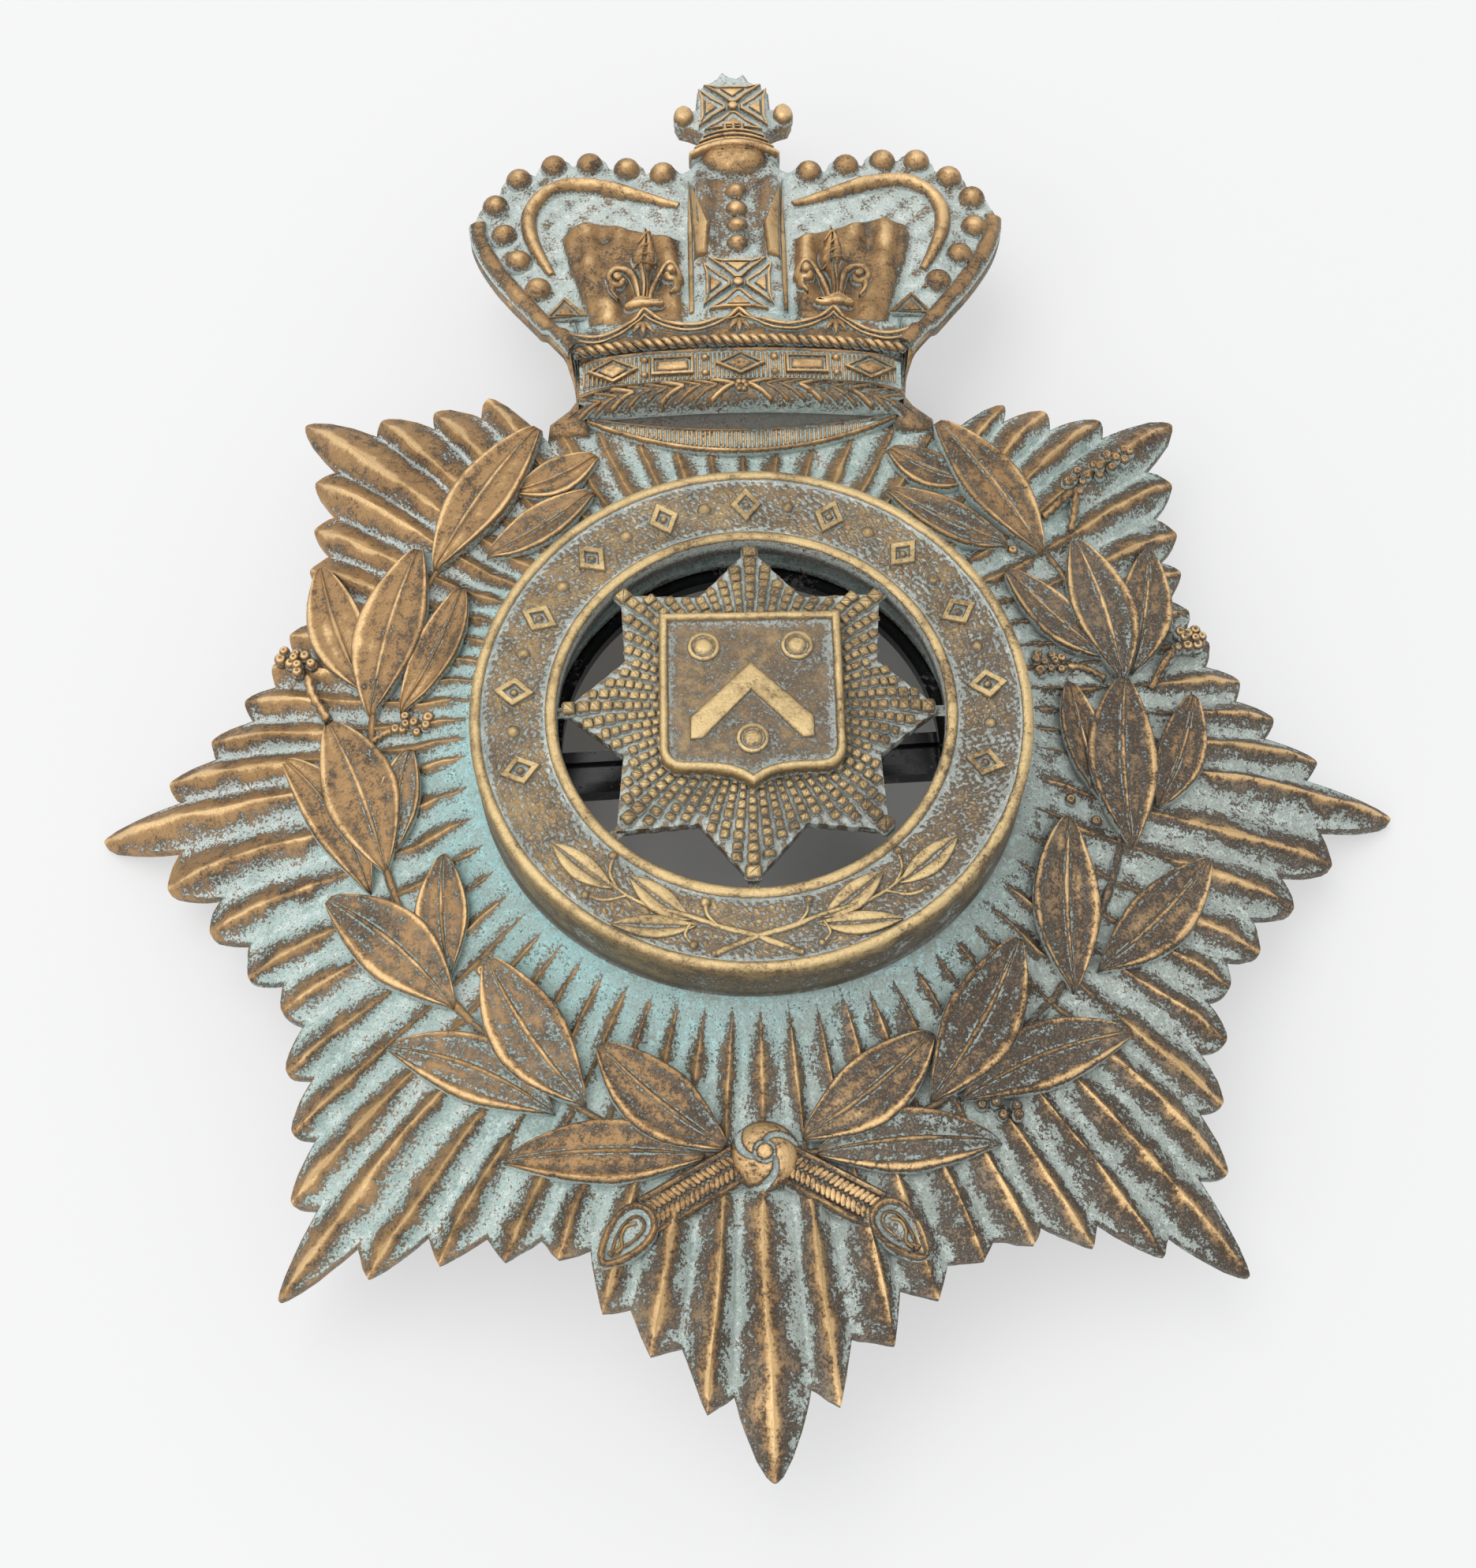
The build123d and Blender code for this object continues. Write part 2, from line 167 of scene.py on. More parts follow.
def insideDistance(x, y, outline):
    # distance from the outline, positive inside
    ring = np.asarray(outline, float)
    best = np.full(np.shape(x), 1e9)
    inside = np.zeros(np.shape(x), bool)
    for (ax, ay), (bx, by) in zip(ring, np.roll(ring, -1, axis=0)):
        ex, ey = bx - ax, by - ay
        t = np.clip(((x - ax) * ex + (y - ay) * ey) / (ex * ex + ey * ey), 0, 1)
        best = np.minimum(best, np.hypot(x - ax - t * ex, y - ay - t * ey))
        crosses = ((ay > y) != (by > y)) & (x < ex * (y - ay) / (ey if ey else 1e-9) + ax)
        inside ^= crosses
    return np.where(inside, best, -best)


def flipped(points, flip):
    # the points, or their mirror image where flip is -1
    return [(x * flip, y) for x, y in points]


def bothSides(half):
    # whole section from the rows between its edge and its middle
    return half + [(-across, height, wear) for across, height, wear in half[-2::-1]]


def rubbed(section, share):
    # a section with its wear changed by a share
    return [(across, height, share * wear) for across, height, wear in section]


def bowed(t, half, y, sag):
    # line across the badge whose ends sag
    return np.stack([half * t, y + sag * t**2], axis=1)


def polar(radius, angle):
    return radius * math.cos(math.radians(angle)), radius * math.sin(math.radians(angle))


class Heap:
    # gathers many closed forms into one mesh; each point carries its wear, 0 deep to 1 rubbed bright,
    # and its bloom, -1 darkened to 1 fresh blue
    def __init__(self):
        self.points, self.faces, self.wear, self.bloom, self.count = [], [], [], [], 0

    def add(self, points, faces, wear, bloom=0.0):
        points = np.asarray(points, float).reshape(-1, 3)
        groups = [np.asarray(group) for group in faces]
        volume = 0.0
        for group in groups:
            corner = points[group] - points[0]
            for k in range(1, group.shape[1] - 1):
                volume += np.sum(corner[:, 0] * np.cross(corner[:, k], corner[:, k + 1]))
        for group in groups:
            group = group if volume > 0 else group[:, ::-1]
            self.faces.extend((group + self.count).tolist())
        self.points.append(points)
        self.wear.append(np.broadcast_to(wear, len(points)))
        self.bloom.append(np.broadcast_to(bloom, len(points)))
        self.count += len(points)

    def piece(self, name, slot="star_brass", sharp=None, finish=None):
        mesh = bpy.data.meshes.new(name)
        points = np.vstack(self.points)
        points[:, 1] += layout["shiftY"]
        mesh.from_pydata((points * layout["scale"]).tolist(), [], self.faces)
        mesh.update()
        for key, data in (("wear", self.wear), ("bloom", self.bloom)):
            keepField(mesh, key, np.concatenate(data))
        mesh.materials.append(finishes[finish or slot])
        return settle(name, mesh, slot, sharp)


def keepField(mesh, key, data):
    mesh.attributes.new(key, "FLOAT", "POINT").data.foreach_set("value", np.asarray(data, np.float32))


def settle(name, mesh, slot, sharp=None):
    # object, smooth shading, material, slot and body of a finished mesh
    mesh.polygons.foreach_set("use_smooth", np.ones(len(mesh.polygons), bool))
    if sharp:
        mesh.set_sharp_from_angle(angle=math.radians(sharp))
    thing = bpy.data.objects.new(name, mesh)
    bpy.context.scene.collection.objects.link(thing)
    if not mesh.materials:
        mesh.materials.append(finishes[slot])
    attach(thing, "badge")
    return thing


def gridFaces(rows, columns, wrapColumns=False):
    i = np.arange(rows - 1)
    j = np.arange(columns if wrapColumns else columns - 1)
    i, j = np.meshgrid(i, j, indexing="ij")
    nextI, nextJ = i + 1, (j + 1) % columns
    return np.stack([i * columns + j, nextI * columns + j, nextI * columns + nextJ, i * columns + nextJ],
                    axis=-1).reshape(-1, 4)


# ---- the plate's plain front ----

plate = {
    "halfWidth": 52.3, "bendAcross": 99.5, "bendDown": 417.0, "sheet": 0.9, "tipRise": 0.35,
    "bossRise": 2.0, "bossRadius": 21.2, "bossFoot": 25.8,
}
crest = (plate["sheet"] - plate["tipRise"] + plate["bendAcross"]
         - math.sqrt(plate["bendAcross"] ** 2 - plate["halfWidth"] ** 2))


def plain(x, y):
    radius = plate["bendAcross"] - plate["bendDown"] + np.sqrt(plate["bendDown"] ** 2 - y * y)
    return crest - plate["bendAcross"] + np.sqrt(radius**2 - x * x)


def front(x, y):
    # plain front with the raised seat of the circlet
    share = np.clip((plate["bossFoot"] - np.hypot(x, y)) / (plate["bossFoot"] - plate["bossRadius"]), 0, 1)
    return plain(x, y) + plate["bossRise"] * share


def strip(heap, path, half, rise, profile, lift=0.0, root=0.35, surface=front, bloom=0.0):
    # raised band along a path; the profile is rows of (across, height, wear) from edge to edge
    path = np.asarray(path, float)
    count = len(path)
    along = np.gradient(path, axis=0)
    along /= np.linalg.norm(along, axis=1)[:, None]
    side = np.stack([-along[:, 1], along[:, 0]], axis=1)
    half, rise, lift = (np.broadcast_to(v, count)[:, None] for v in (half, rise, lift))
    across, height, wear = np.array(profile).T
    across, height, wear = np.r_[across, 1, -1], np.r_[height, 0, 0], np.r_[wear, 0.38, 0.38]
    xy = path[:, None] + side[:, None] * (half * across)[..., None]
    base = surface(xy[..., 0], xy[..., 1])
    z = base + lift + rise * height
    z[:, -2:] = base[:, -2:] - root
    columns = len(across)
    points = np.concatenate([xy, z[..., None]], axis=-1)
    body = gridFaces(count, columns, wrapColumns=True)
    caps = [list(range(columns)), list(range((count - 1) * columns, count * columns))[::-1]]
    heap.add(points, [body, caps], np.tile(wear, count), bloom)


def pad(heap, outline, steps, surface=front, root=0.35):
    # raised flat shape; steps are rows of (inset, height, wear) from the foot to the top
    ring = np.asarray(outline, float)
    area = np.sum(ring[:, 0] * np.roll(ring[:, 1], -1) - np.roll(ring[:, 0], -1) * ring[:, 1])
    if area < 0:
        ring = ring[::-1]
    before, after = ring - np.roll(ring, 1, axis=0), np.roll(ring, -1, axis=0) - ring
    before /= np.linalg.norm(before, axis=1)[:, None]
    after /= np.linalg.norm(after, axis=1)[:, None]
    inward = np.stack([-before[:, 1] - after[:, 1], before[:, 0] + after[:, 0]], axis=1)
    inward /= np.maximum(1 + np.sum(before * after, axis=1), 0.35)[:, None]
    base = surface(ring[:, 0], ring[:, 1])
    rows = [np.c_[ring, base - root]]
    wear = [np.full(len(ring), 0.38)]
    for inset, height, rubbed in steps:
        at = ring + inward * inset
        rows.append(np.c_[at, surface(at[:, 0], at[:, 1]) + height])
        wear.append(np.full(len(ring), rubbed))
    count, columns = len(rows), len(ring)
    body = gridFaces(count, columns, wrapColumns=True)[:, ::-1]
    caps = [list(range(columns))[::-1], list(range((count - 1) * columns, count * columns))]
    heap.add(np.vstack(rows), [body, caps], np.concatenate(wear))


def ringOutline(x, y, radius, count=20, stretch=1.0, turn=0.0):
    t = np.linspace(0, 2 * math.pi, count, endpoint=False)
    a, b = radius * np.cos(t), radius * stretch * np.sin(t)
    c, s = math.cos(math.radians(turn)), math.sin(math.radians(turn))
    return np.stack([x + a * c - b * s, y + a * s + b * c], axis=1)


# ---- finishes ----

agedBrass = {
    "dark": (0.070, 0.055, 0.047, 1), "brown": (0.245, 0.160, 0.090, 1), "body": (0.42, 0.258, 0.120, 1),
    "bright": (0.84, 0.570, 0.285, 1), "teal": (0.430, 0.610, 0.580, 1), "pale": (0.740, 0.860, 0.815, 1),
    "chalk": (0.925, 0.945, 0.910, 1), "fresh": (0.380, 0.840, 0.880, 1), "grey": (0.720, 0.740, 0.680, 1),
    "film": (0.265, 0.225, 0.175, 1), "silt": (0.265, 0.265, 0.235, 1),
    # wear where crust begins and its fade, soot, reach in metres of the occlusion that sets the crust and the
    # painted crevice shade, trails across the rays, wear added on the upper left as painted light, and wear
    # added everywhere
    "crustAt": 0.11, "crustSoft": 0.30, "tarnish": 0.86, "reach": 0.0009, "streak": 0.0, "paintedLightUpperLeft": 0.17,
    "base": 0.0,
    "roughBody": 0.44, "roughBright": 0.30, "roughCrust": 0.95,
}
centreBrass = dict(
    agedBrass, body=(0.41, 0.290, 0.147, 1), bright=(0.70, 0.520, 0.262, 1), teal=(0.430, 0.500, 0.470, 1),
    pale=(0.680, 0.740, 0.690, 1), fresh=(0.46, 0.58, 0.56, 1), tarnish=0.66, crustAt=0.14,
)
rayBrass = dict(agedBrass, streak=0.42)
loopCopper = dict(agedBrass, body=(0.34, 0.165, 0.080, 1), bright=(0.62, 0.36, 0.20, 1), base=0.46)
pinBrass = dict(agedBrass, body=(0.40, 0.26, 0.12, 1), base=0.60, tarnish=0.5)


def agedMetal(name, look):
    # brass rubbed bright on its high spots, mottled brown lower down, with blue-green crust in the hollows;
    # painted shade in crevices, a painted highlight along the crests and painted light on the upper left
    material = bpy.data.materials.new(name)
    t = freshTree(material)
    place = t.add("ShaderNodeTexCoord", out="Object")
    wear = t.add("ShaderNodeAttribute", {"attribute_name": "wear"}, out="Fac") + look["base"]
    bloom = t.add("ShaderNodeAttribute", {"attribute_name": "bloom"}, out="Fac")

    def noise(size, detail, rough):
        spread = t.add("ShaderNodeTexNoise", inputs={
            "Vector": place, "Scale": 1 / size, "Detail": detail, "Roughness": rough})
        return (spread - 0.5) * 2.6

    grain = noise(0.00022, 4, 0.75)
    fleck = noise(0.00085, 5, 0.75)
    blot = noise(0.00300, 5, 0.68)
    patch = noise(0.0120, 3, 0.55)
    streak = 0.0
    spot = t.add("ShaderNodeSeparateXYZ", inputs={"Vector": place})
    up = t.add("ShaderNodeSeparateXYZ", inputs={"Vector": place}, out="Y")
    up = up - layout["shiftY"] * layout["scale"]
    if look["streak"]:
        # scratches and trails that run out from the middle of the star
        run = (spot * spot + up * up) ** 0.5
        turn = up.math("ARCTAN2", up, spot)
        spun = t.add("ShaderNodeCombineXYZ", inputs={"X": run * 420.0, "Y": turn * 95.0})
        streak = (t.add("ShaderNodeTexNoise", inputs={
            "Vector": spun, "Scale": 1.0, "Detail": 4.0, "Roughness": 0.7}) - 0.5) * (2 * look["streak"])
    hidden = 1 - t.add("ShaderNodeAmbientOcclusion", {"samples": 6}, {"Distance": look["reach"]}, out="AO")
    # the lower right is greyer and darker
    right = t.step(spot - up * 0.42 - t.step(up, 0.002, 0.024) * 0.013 + patch * 0.010, -0.012, 0.030)

    # the upper left is painted lighter where the key light falls, with more bare brass, less film and
    # chalkier crust
    paintedLightUpperLeft = t.step(up * 0.6 - spot * 0.8 + patch * 0.008, 0.016, 0.040) * (1 - t.step(up, 0.033, 0.038))
    worn = wear + paintedLightUpperLeft * look["paintedLightUpperLeft"]

    level = worn + grain * 0.70 + fleck * 0.30 + blot * 0.20 + patch * 0.12 + streak * 0.5 - hidden * 0.25
    level = level + right * (fleck * 0.20 + blot * 0.28 + streak * 0.3 - 0.01)
    # negative bloom darkens the colour; the recess under the crown's roll uses it as painted shade
    darkBloom = 1 - t.step(bloom + grain * 0.3, -0.62, -0.25)
    fresh = t.step(bloom, 0.0, 1.0)
    crust = (1 - t.step(level, look["crustAt"], look["crustAt"] + look["crustSoft"])) * (1 - darkBloom * 0.85)
    # brass rubbed bright on the crests; its bright colour also stands in as a painted highlight line along
    # them
    rubbedBrightAndHighlight = t.step(wear + paintedLightUpperLeft * 0.08 + blot * 0.24 + fleck * 0.22 + patch * 0.34 + grain * 0.12, 0.76, 1.08)
    mottle = worn * 0.60 + fleck * 0.46 + grain * 0.60 + blot * 0.36 + patch * 0.25
    mottle = mottle - right * 0.17 + streak * 0.5
    # dark tarnish mottle, joined below with the darkened bloom, which carries painted shade
    tarnishAndPaintedShade = (1 - t.step(mottle, 0.06, 0.46)) * look["tarnish"]
    tarnishAndPaintedShade = tarnishAndPaintedShade.math("MAXIMUM", tarnishAndPaintedShade, darkBloom * 0.9)
    brown = 1 - t.step(worn + fleck * 0.35 + blot * 0.4 + patch * 0.3 - right * 0.10, 0.38, 0.74)
    # painted shade: darkening in crevices found by ambient occlusion, stronger on the lower right
    crevicePaintedShade = t.step(hidden + grain * 0.25 + fleck * 0.2 + right * 0.10, 0.40, 0.70) * 0.8

    colour = t.mix(rubbedBrightAndHighlight, look["body"], look["bright"])
    colour = t.mix(brown * 0.85, colour, look["brown"])
    loose = (grain * 0.35 + fleck * 0.35 + blot * 0.25) * (1 - right * 0.45)
    film = (0.30 + right * 0.52 - paintedLightUpperLeft * 0.2) * (1 - t.step(worn - right * 0.14 + loose, 0.38, 0.74))
    colour = t.mix(film, colour, look["film"])
    colour = t.mix(tarnishAndPaintedShade, colour, look["dark"])
    pale = t.step(fleck * 0.6 + grain * 0.7 + blot * 0.5 + streak, -0.40, 0.22)
    powder = t.mix(pale, look["teal"], look["pale"])
    powder = t.mix(t.step(grain * 0.9 + fleck * 0.5 + blot * 0.6 + streak, 0.08, 0.50), powder, look["chalk"])
    blue = t.mix(t.step(grain * 0.8 + fleck * 0.6 + blot * 0.5, -0.3, 0.4), look["teal"], look["fresh"])
    powder = t.mix(fresh * 0.8, powder, blue)
    powder = t.mix(right * 0.40, powder, look["grey"])
    # painted light: the crust on the upper left is made chalkier
    powder = t.mix(paintedLightUpperLeft * 0.6, powder, look["chalk"])
    powder = t.mix(t.step(up, 0.038, 0.046) * 0.4, powder, look["chalk"])
    # dark threads and pits through the crust
    thread = fleck * 0.8 + grain * 0.35 + streak * 0.4
    thread = 1 - t.step(thread.math("ABSOLUTE", thread), 0.02, 0.17)
    pits = 1 - t.step(grain + fleck * 0.8 + blot * 0.5 + streak, -0.55, -0.05)
    powder = t.mix(thread * (0.30 + right * 0.30), powder, look["silt"])
    powder = t.mix(pits * (0.52 + right * 0.22), powder, look["silt"])
    colour = t.mix(crust, colour, powder)
    # the painted crevice shade is mixed over the colour, weaker over crust
    colour = t.mix(crevicePaintedShade * (1 - crust * (0.65 - right * 0.35)), colour, look["dark"])
    bare = 1 - crust
    rough = look["roughBody"] + tarnishAndPaintedShade * 0.25 + grain * 0.10 - rubbedBrightAndHighlight * (look["roughBody"] - look["roughBright"])
    rough = rough * bare + crust * look["roughCrust"]
    height = grain * 0.35 + fleck * 0.55 + blot * 0.4 + crust * (grain * 0.6 + 0.5)
    bump = t.add("ShaderNodeBump", inputs={"Height": height, "Strength": 0.7, "Distance": 0.00012})
    return finished(material, t, colour, rough, bump, bare * 0.85)


def blackJapan(name):
    # baked black enamel, glossy where whole, dull and dusty where rubbed
    material = bpy.data.materials.new(name)
    t = freshTree(material)
    place = t.add("ShaderNodeTexCoord", out="Object")
    speck = t.add("ShaderNodeTexNoise", inputs={"Vector": place, "Scale": 2600.0, "Detail": 3.0})
    worn = t.add("ShaderNodeTexNoise", inputs={"Vector": place, "Scale": 420.0, "Detail": 4.0})
    dust = t.step(speck * 0.6 + worn * 0.6, 0.66, 0.78)
    colour = t.mix(dust, (0.008, 0.008, 0.009, 1), (0.11, 0.105, 0.10, 1))
    bump = t.add("ShaderNodeBump", inputs={"Height": worn, "Strength": 0.35, "Distance": 0.00008})
    return finished(material, t, colour, dust * 0.45 + 0.22, bump)


finishes = {
    "star_brass": agedMetal("starBrass", agedBrass),
    "ray_brass": agedMetal("rayBrass", rayBrass),
    "centre_brass": agedMetal("centreBrass", centreBrass),
    "loop_copper": agedMetal("loopCopper", loopCopper),
    "pin_brass": agedMetal("pinBrass", pinBrass),
    "black_japan": blackJapan("blackJapan"),
}
for part in frame["record"]["subparts"]:
    frame["nodes"][part["node"]].material_slots[0].material = finishes[part["material_slot"]]
stage("finishes made")

# ---- node trees that repeat and sweep ----


class Grow(Tree):
    # a Geometry Nodes tree with named inputs
    def __init__(self, name):
        super().__init__(bpy.data.node_groups.new(name, "GeometryNodeTree"))
        for way in ("INPUT", "OUTPUT"):
            self.tree.interface.new_socket("Geometry", in_out=way, socket_type="NodeSocketGeometry")
        self.entry = self.tree.nodes.new("NodeGroupInput")
        self.start = Wire(self.tree, self.entry.outputs["Geometry"])

    def ask(self, name, kind, value=None):
        socket = self.tree.interface.new_socket(name, in_out="INPUT", socket_type="NodeSocket" + kind)
        if value is not None:
            socket.default_value = value
        return Wire(self.tree, self.entry.outputs[name])

    def field(self, name, kind="FLOAT"):
        return self.add("GeometryNodeInputNamedAttribute", {"data_type": kind}, {"Name": name})

    def keep(self, geometry, name, value):
        return self.add("GeometryNodeStoreNamedAttribute", inputs={
            "Geometry": geometry, "Name": name, "Value": value})

    def close(self, geometry, material):
        real = self.add("GeometryNodeRealizeInstances", inputs={"Geometry": geometry})
        painted = self.add("GeometryNodeSetMaterial", inputs={"Geometry": real, "Material": material})
        self.add("NodeGroupOutput", inputs={"Geometry": painted})


def beadTree():
    # one small solid on every point, sized and turned by the point
    g = Grow("beads")
    bead, material = g.ask("Bead", "Object"), g.ask("Material", "Material")
    swell = g.ask("Swell", "Float", 1.0)
    solid = g.add("GeometryNodeObjectInfo", inputs={"Object": bead}, out="Geometry")
    size = g.add("ShaderNodeVectorMath", {"operation": "SCALE"}, {
        0: g.field("size", "FLOAT_VECTOR"), "Scale": swell})
    spread = g.add("GeometryNodeInstanceOnPoints", inputs={
        "Points": g.start, "Instance": solid, "Rotation": g.field("turn", "FLOAT_VECTOR"), "Scale": size})
    g.close(spread, material)
    return g.tree


def cordTree():
    # round wire along every line of edges
    g = Grow("cords")
    radius, sides = g.ask("Radius", "Float", 0.0003), g.ask("Sides", "Int", 8)
    material = g.ask("Material", "Material")
    line = g.add("GeometryNodeMeshToCurve", inputs={"Mesh": g.start})
    section = g.add(
        "GeometryNodeCurvePrimitiveCircle", {"mode": "RADIUS"}, {"Resolution": sides, "Radius": radius})
    tube = g.add("GeometryNodeCurveToMesh", inputs={
        "Curve": line, "Profile Curve": section, "Scale": g.field("thick"), "Fill Caps": True})
    up = g.add("ShaderNodeSeparateXYZ", inputs={"Vector": g.add("GeometryNodeInputNormal")}, out="Z")
    g.close(g.keep(tube, "wear", up * 0.75 + 0.3), material)
    return g.tree


def turnedTree():
    # a section carried round a circle
    g = Grow("turned")
    radius, steps = g.ask("Radius", "Float", 0.017), g.ask("Steps", "Int", 540)
    material = g.ask("Material", "Material")
    circle = g.add(
        "GeometryNodeCurvePrimitiveCircle", {"mode": "RADIUS"}, {"Resolution": steps, "Radius": radius})
    section = g.add("GeometryNodeMeshToCurve", inputs={"Mesh": g.start})
    g.close(g.add("GeometryNodeCurveToMesh", inputs={"Curve": circle, "Profile Curve": section}), material)
    return g.tree


trees = {"beads": beadTree(), "cords": cordTree(), "turned": turnedTree()}


def grown(name, tree, slot, points, edges=(), fields=None, values=None):
    # runs one tree on points or lines given in metres and keeps the result as a plain mesh
    source = bpy.data.meshes.new(name + "Source")
    source.from_pydata([tuple(p) for p in points], edges, [])
    for key, data in (fields or {}).items():
        data = np.asarray(data, np.float32)
        kind = ("FLOAT", "value") if data.ndim == 1 else ("FLOAT_VECTOR", "vector")
        source.attributes.new(key, kind[0], "POINT").data.foreach_set(kind[1], data.ravel())
    thing = bpy.data.objects.new(name + "Source", source)
    bpy.context.scene.collection.objects.link(thing)
    modifier = thing.modifiers.new("grow", "NODES")
    modifier.node_group = trees[tree]
    wanted = dict(values or {}, Material=finishes[slot])
    for item in trees[tree].interface.items_tree:
        if item.in_out == "INPUT" and item.name in wanted:
            modifier[item.identifier] = wanted[item.name]
    bpy.context.view_layer.update()
    depsgraph = bpy.context.evaluated_depsgraph_get()
    mesh = bpy.data.meshes.new_from_object(thing.evaluated_get(depsgraph), depsgraph=depsgraph)
    bpy.data.objects.remove(thing)
    return mesh


def toRow(points):
    return (np.asarray(points, float) + (0, layout["shiftY"], 0)) * layout["scale"]


def level(height):
    return lambda x, y: np.zeros(np.shape(x)) + height


def hiddenForm(name, outline, steps, root):
    # a small solid that only the trees use, in metres about its own foot
    heap = Heap()
    pad(heap, outline, steps, level(0), root)
    mesh = bpy.data.meshes.new(name + "Form")
    mesh.from_pydata((np.vstack(heap.points) * layout["scale"]).tolist(), [], heap.faces)
    mesh.polygons.foreach_set("use_smooth", np.ones(len(mesh.polygons), bool))
    keepField(mesh, "wear", np.concatenate(heap.wear))
    return bpy.data.objects.new(name + "Form", mesh)


# a dome on a short round foot, a rounded oblong, and a dome with a sunk eye that is darker round its foot
forms = {
    "pearl": hiddenForm("pearl", ringOutline(0, 0, 1, 16), [
        (0.0, 0.0, 0.15), (0.04, 0.30, 0.35), (0.16, 0.55, 0.52), (0.36, 0.78, 0.66), (0.62, 0.94, 0.80),
        (0.86, 1.0, 0.90)], 0.5),
    "pad": hiddenForm(
        "pad", [(-1, -0.7), (-0.7, -1), (0.7, -1), (1, -0.7), (1, 0.7), (0.7, 1), (-0.7, 1), (-1, 0.7)],
        [(0, 0, 0.1), (0.1, 0.5, 0.5), (0.3, 0.88, 0.74), (0.6, 1, 0.87)], 0.6),
    "berry": hiddenForm("berry", ringOutline(0, 0, 1, 14), [
        (0.0, 0.0, 0.05), (0.05, 0.35, 0.25), (0.18, 0.65, 0.55), (0.4, 0.92, 0.85), (0.62, 1.0, 0.95),
        (0.78, 0.9, 0.5), (0.9, 0.86, 0.35)], 0.9),
}


def beads(name, form, spots, surface, slot="star_brass"):
    # spots are rows of (x, y, half length, half width, height, turn, lift)
    spots = np.asarray(spots, float)
    z = surface(spots[:, 0], spots[:, 1]) + spots[:, 6]
    points = toRow(np.c_[spots[:, :2], z])
    turn = np.c_[np.zeros((len(spots), 2)), np.radians(spots[:, 5])]
    mesh = grown(name, "beads", slot, points, fields={"size": spots[:, 2:5], "turn": turn},
                 values={"Bead": forms[form], "Swell": 1.0})
    return settle(name, mesh, slot)


def cords(name, lines, radius, sides, slot="star_brass"):
    # lines are rows of (points in millimetres, thickness along them)
    points, edges, thick = [], [], []
    for line, width in lines:
        start = len(points)
        points.extend(toRow(line))
        thick.extend(np.broadcast_to(width, len(line)))
        edges.extend((start + i, start + i + 1) for i in range(len(line) - 1))
    mesh = grown(name, "cords", slot, points, edges, {"thick": thick}, {
        "Radius": radius * layout["scale"], "Sides": sides})
    return settle(name, mesh, slot)


stage("node trees built")

# ---- field of rays ----

rays = {
    # angle, reach, steps to the next point and their lean, side shares, ridge width, place of the notch
    "points": [
        (-89.6, 52.7, 8, 0.05, 1.04, 1.035, 0.86, 0.34), (-48.4, 51.9, 8, -0.18, 1.01, 0.99, 0.72, 0.54),
        (-0.5, 52.25, 9, -0.12, 0.99, 0.985, 0.64, 0.50), (42.8, 50.4, 9, -0.16, 0.975, 0.96, 0.84, 0.68),
        (90.0, 34.0, 9, 0.10, 1.0, 1.0, 0.72, 0.32), (136.2, 51.6, 10, 0.05, 0.98, 0.99, 0.90, 0.50),
        (180.4, 52.25, 8, 0.22, 1.0, 0.99, 0.70, 0.46), (228.9, 51.9, 8, 0.0, 1.0, 1.01, 0.62, 0.50),
    ],
    "sides": [46.6, 43.4, 41.3, 39.9], "hiddenReach": 34.0, "hiddenHalf": 29.0, "notch": 0.95, "flatTip": 3.2,
    "lobe": 1.75, "lowLobe": 1.05, "lanceLobe": 1.6, "lanceShare": 0.60, "bend": 0.55, "outerRows": 26,
    # places across a ridge, crest 0, foot 1, middle of the valley 2, with the height and the wear there
    "stations": [0.0, 0.08, 0.24, 0.52, 0.84, 1.15, 1.5, 2.0],
    "flank": [1.0, 0.92, 0.78, 0.58, 0.36, 0.17, 0.05, 0.0],
    "wear": [1.15, 0.98, 0.70, 0.52, 0.40, 0.24, 0.12, 0.04],
    # distances from the middle with a row of points, then the width and the height of the ridges by distance
    "rows": [15.2, 15.6, 18.0, 20.8, 21.4, 22.0, 22.6, 23.2, 24.0, 25.0, 26.0, 27.0, 28.0, 29.2, 30.6],
    "slim": ([21.6, 23.0, 25.0, 27.5, 29.5, 33.0, 40.0], [0.16, 0.60, 0.92, 0.80, 0.60, 0.80, 1.0]),
    "rise": ([22.2, 23.6, 26.5, 29.0, 33.0, 38.0], [0, 0.62, 0.62, 0.50, 0.50, 1.25]),
    # fresh blue crust about the circlet's foot: distance, spread and the side it favours
    "blueAt": 21.0, "blueSpread": 4.4, "blueSide": 228, "backClear": 0.04,
}


def rayTips():
    # angle, reach, ridge width and place of the next notch for every tip
    tips = []
    points = rays["points"] + [(rays["points"][0][0] + 360,) + rays["points"][0][1:]]
    for this, after in zip(points, points[1:]):
        angle, reach, steps, lean = this[:4]
        tips.append((angle, reach, this[6], this[7]))
        for k in range(1, steps):
            t = k / steps
            turned = angle + (after[0] - angle) * (t + lean * t * (1 - t))
            near, share = (k, this[5]) if k <= steps - k else (steps - k, after[4])
            side = rays["sides"][min(near, len(rays["sides"])) - 1] * share
            if abs(turned - 90) < rays["hiddenHalf"]:
                side = rays["hiddenReach"]
            tips.append((turned, side, this[6] + (after[6] - this[6]) * t, this[7]))
    # the lowest point takes more than its share of the plate on both sides
    tips[0] = tips[0][:3] + (rays["lanceShare"],)
    tips[-1] = tips[-1][:3] + (1 - rays["lanceShare"],)
    return tips


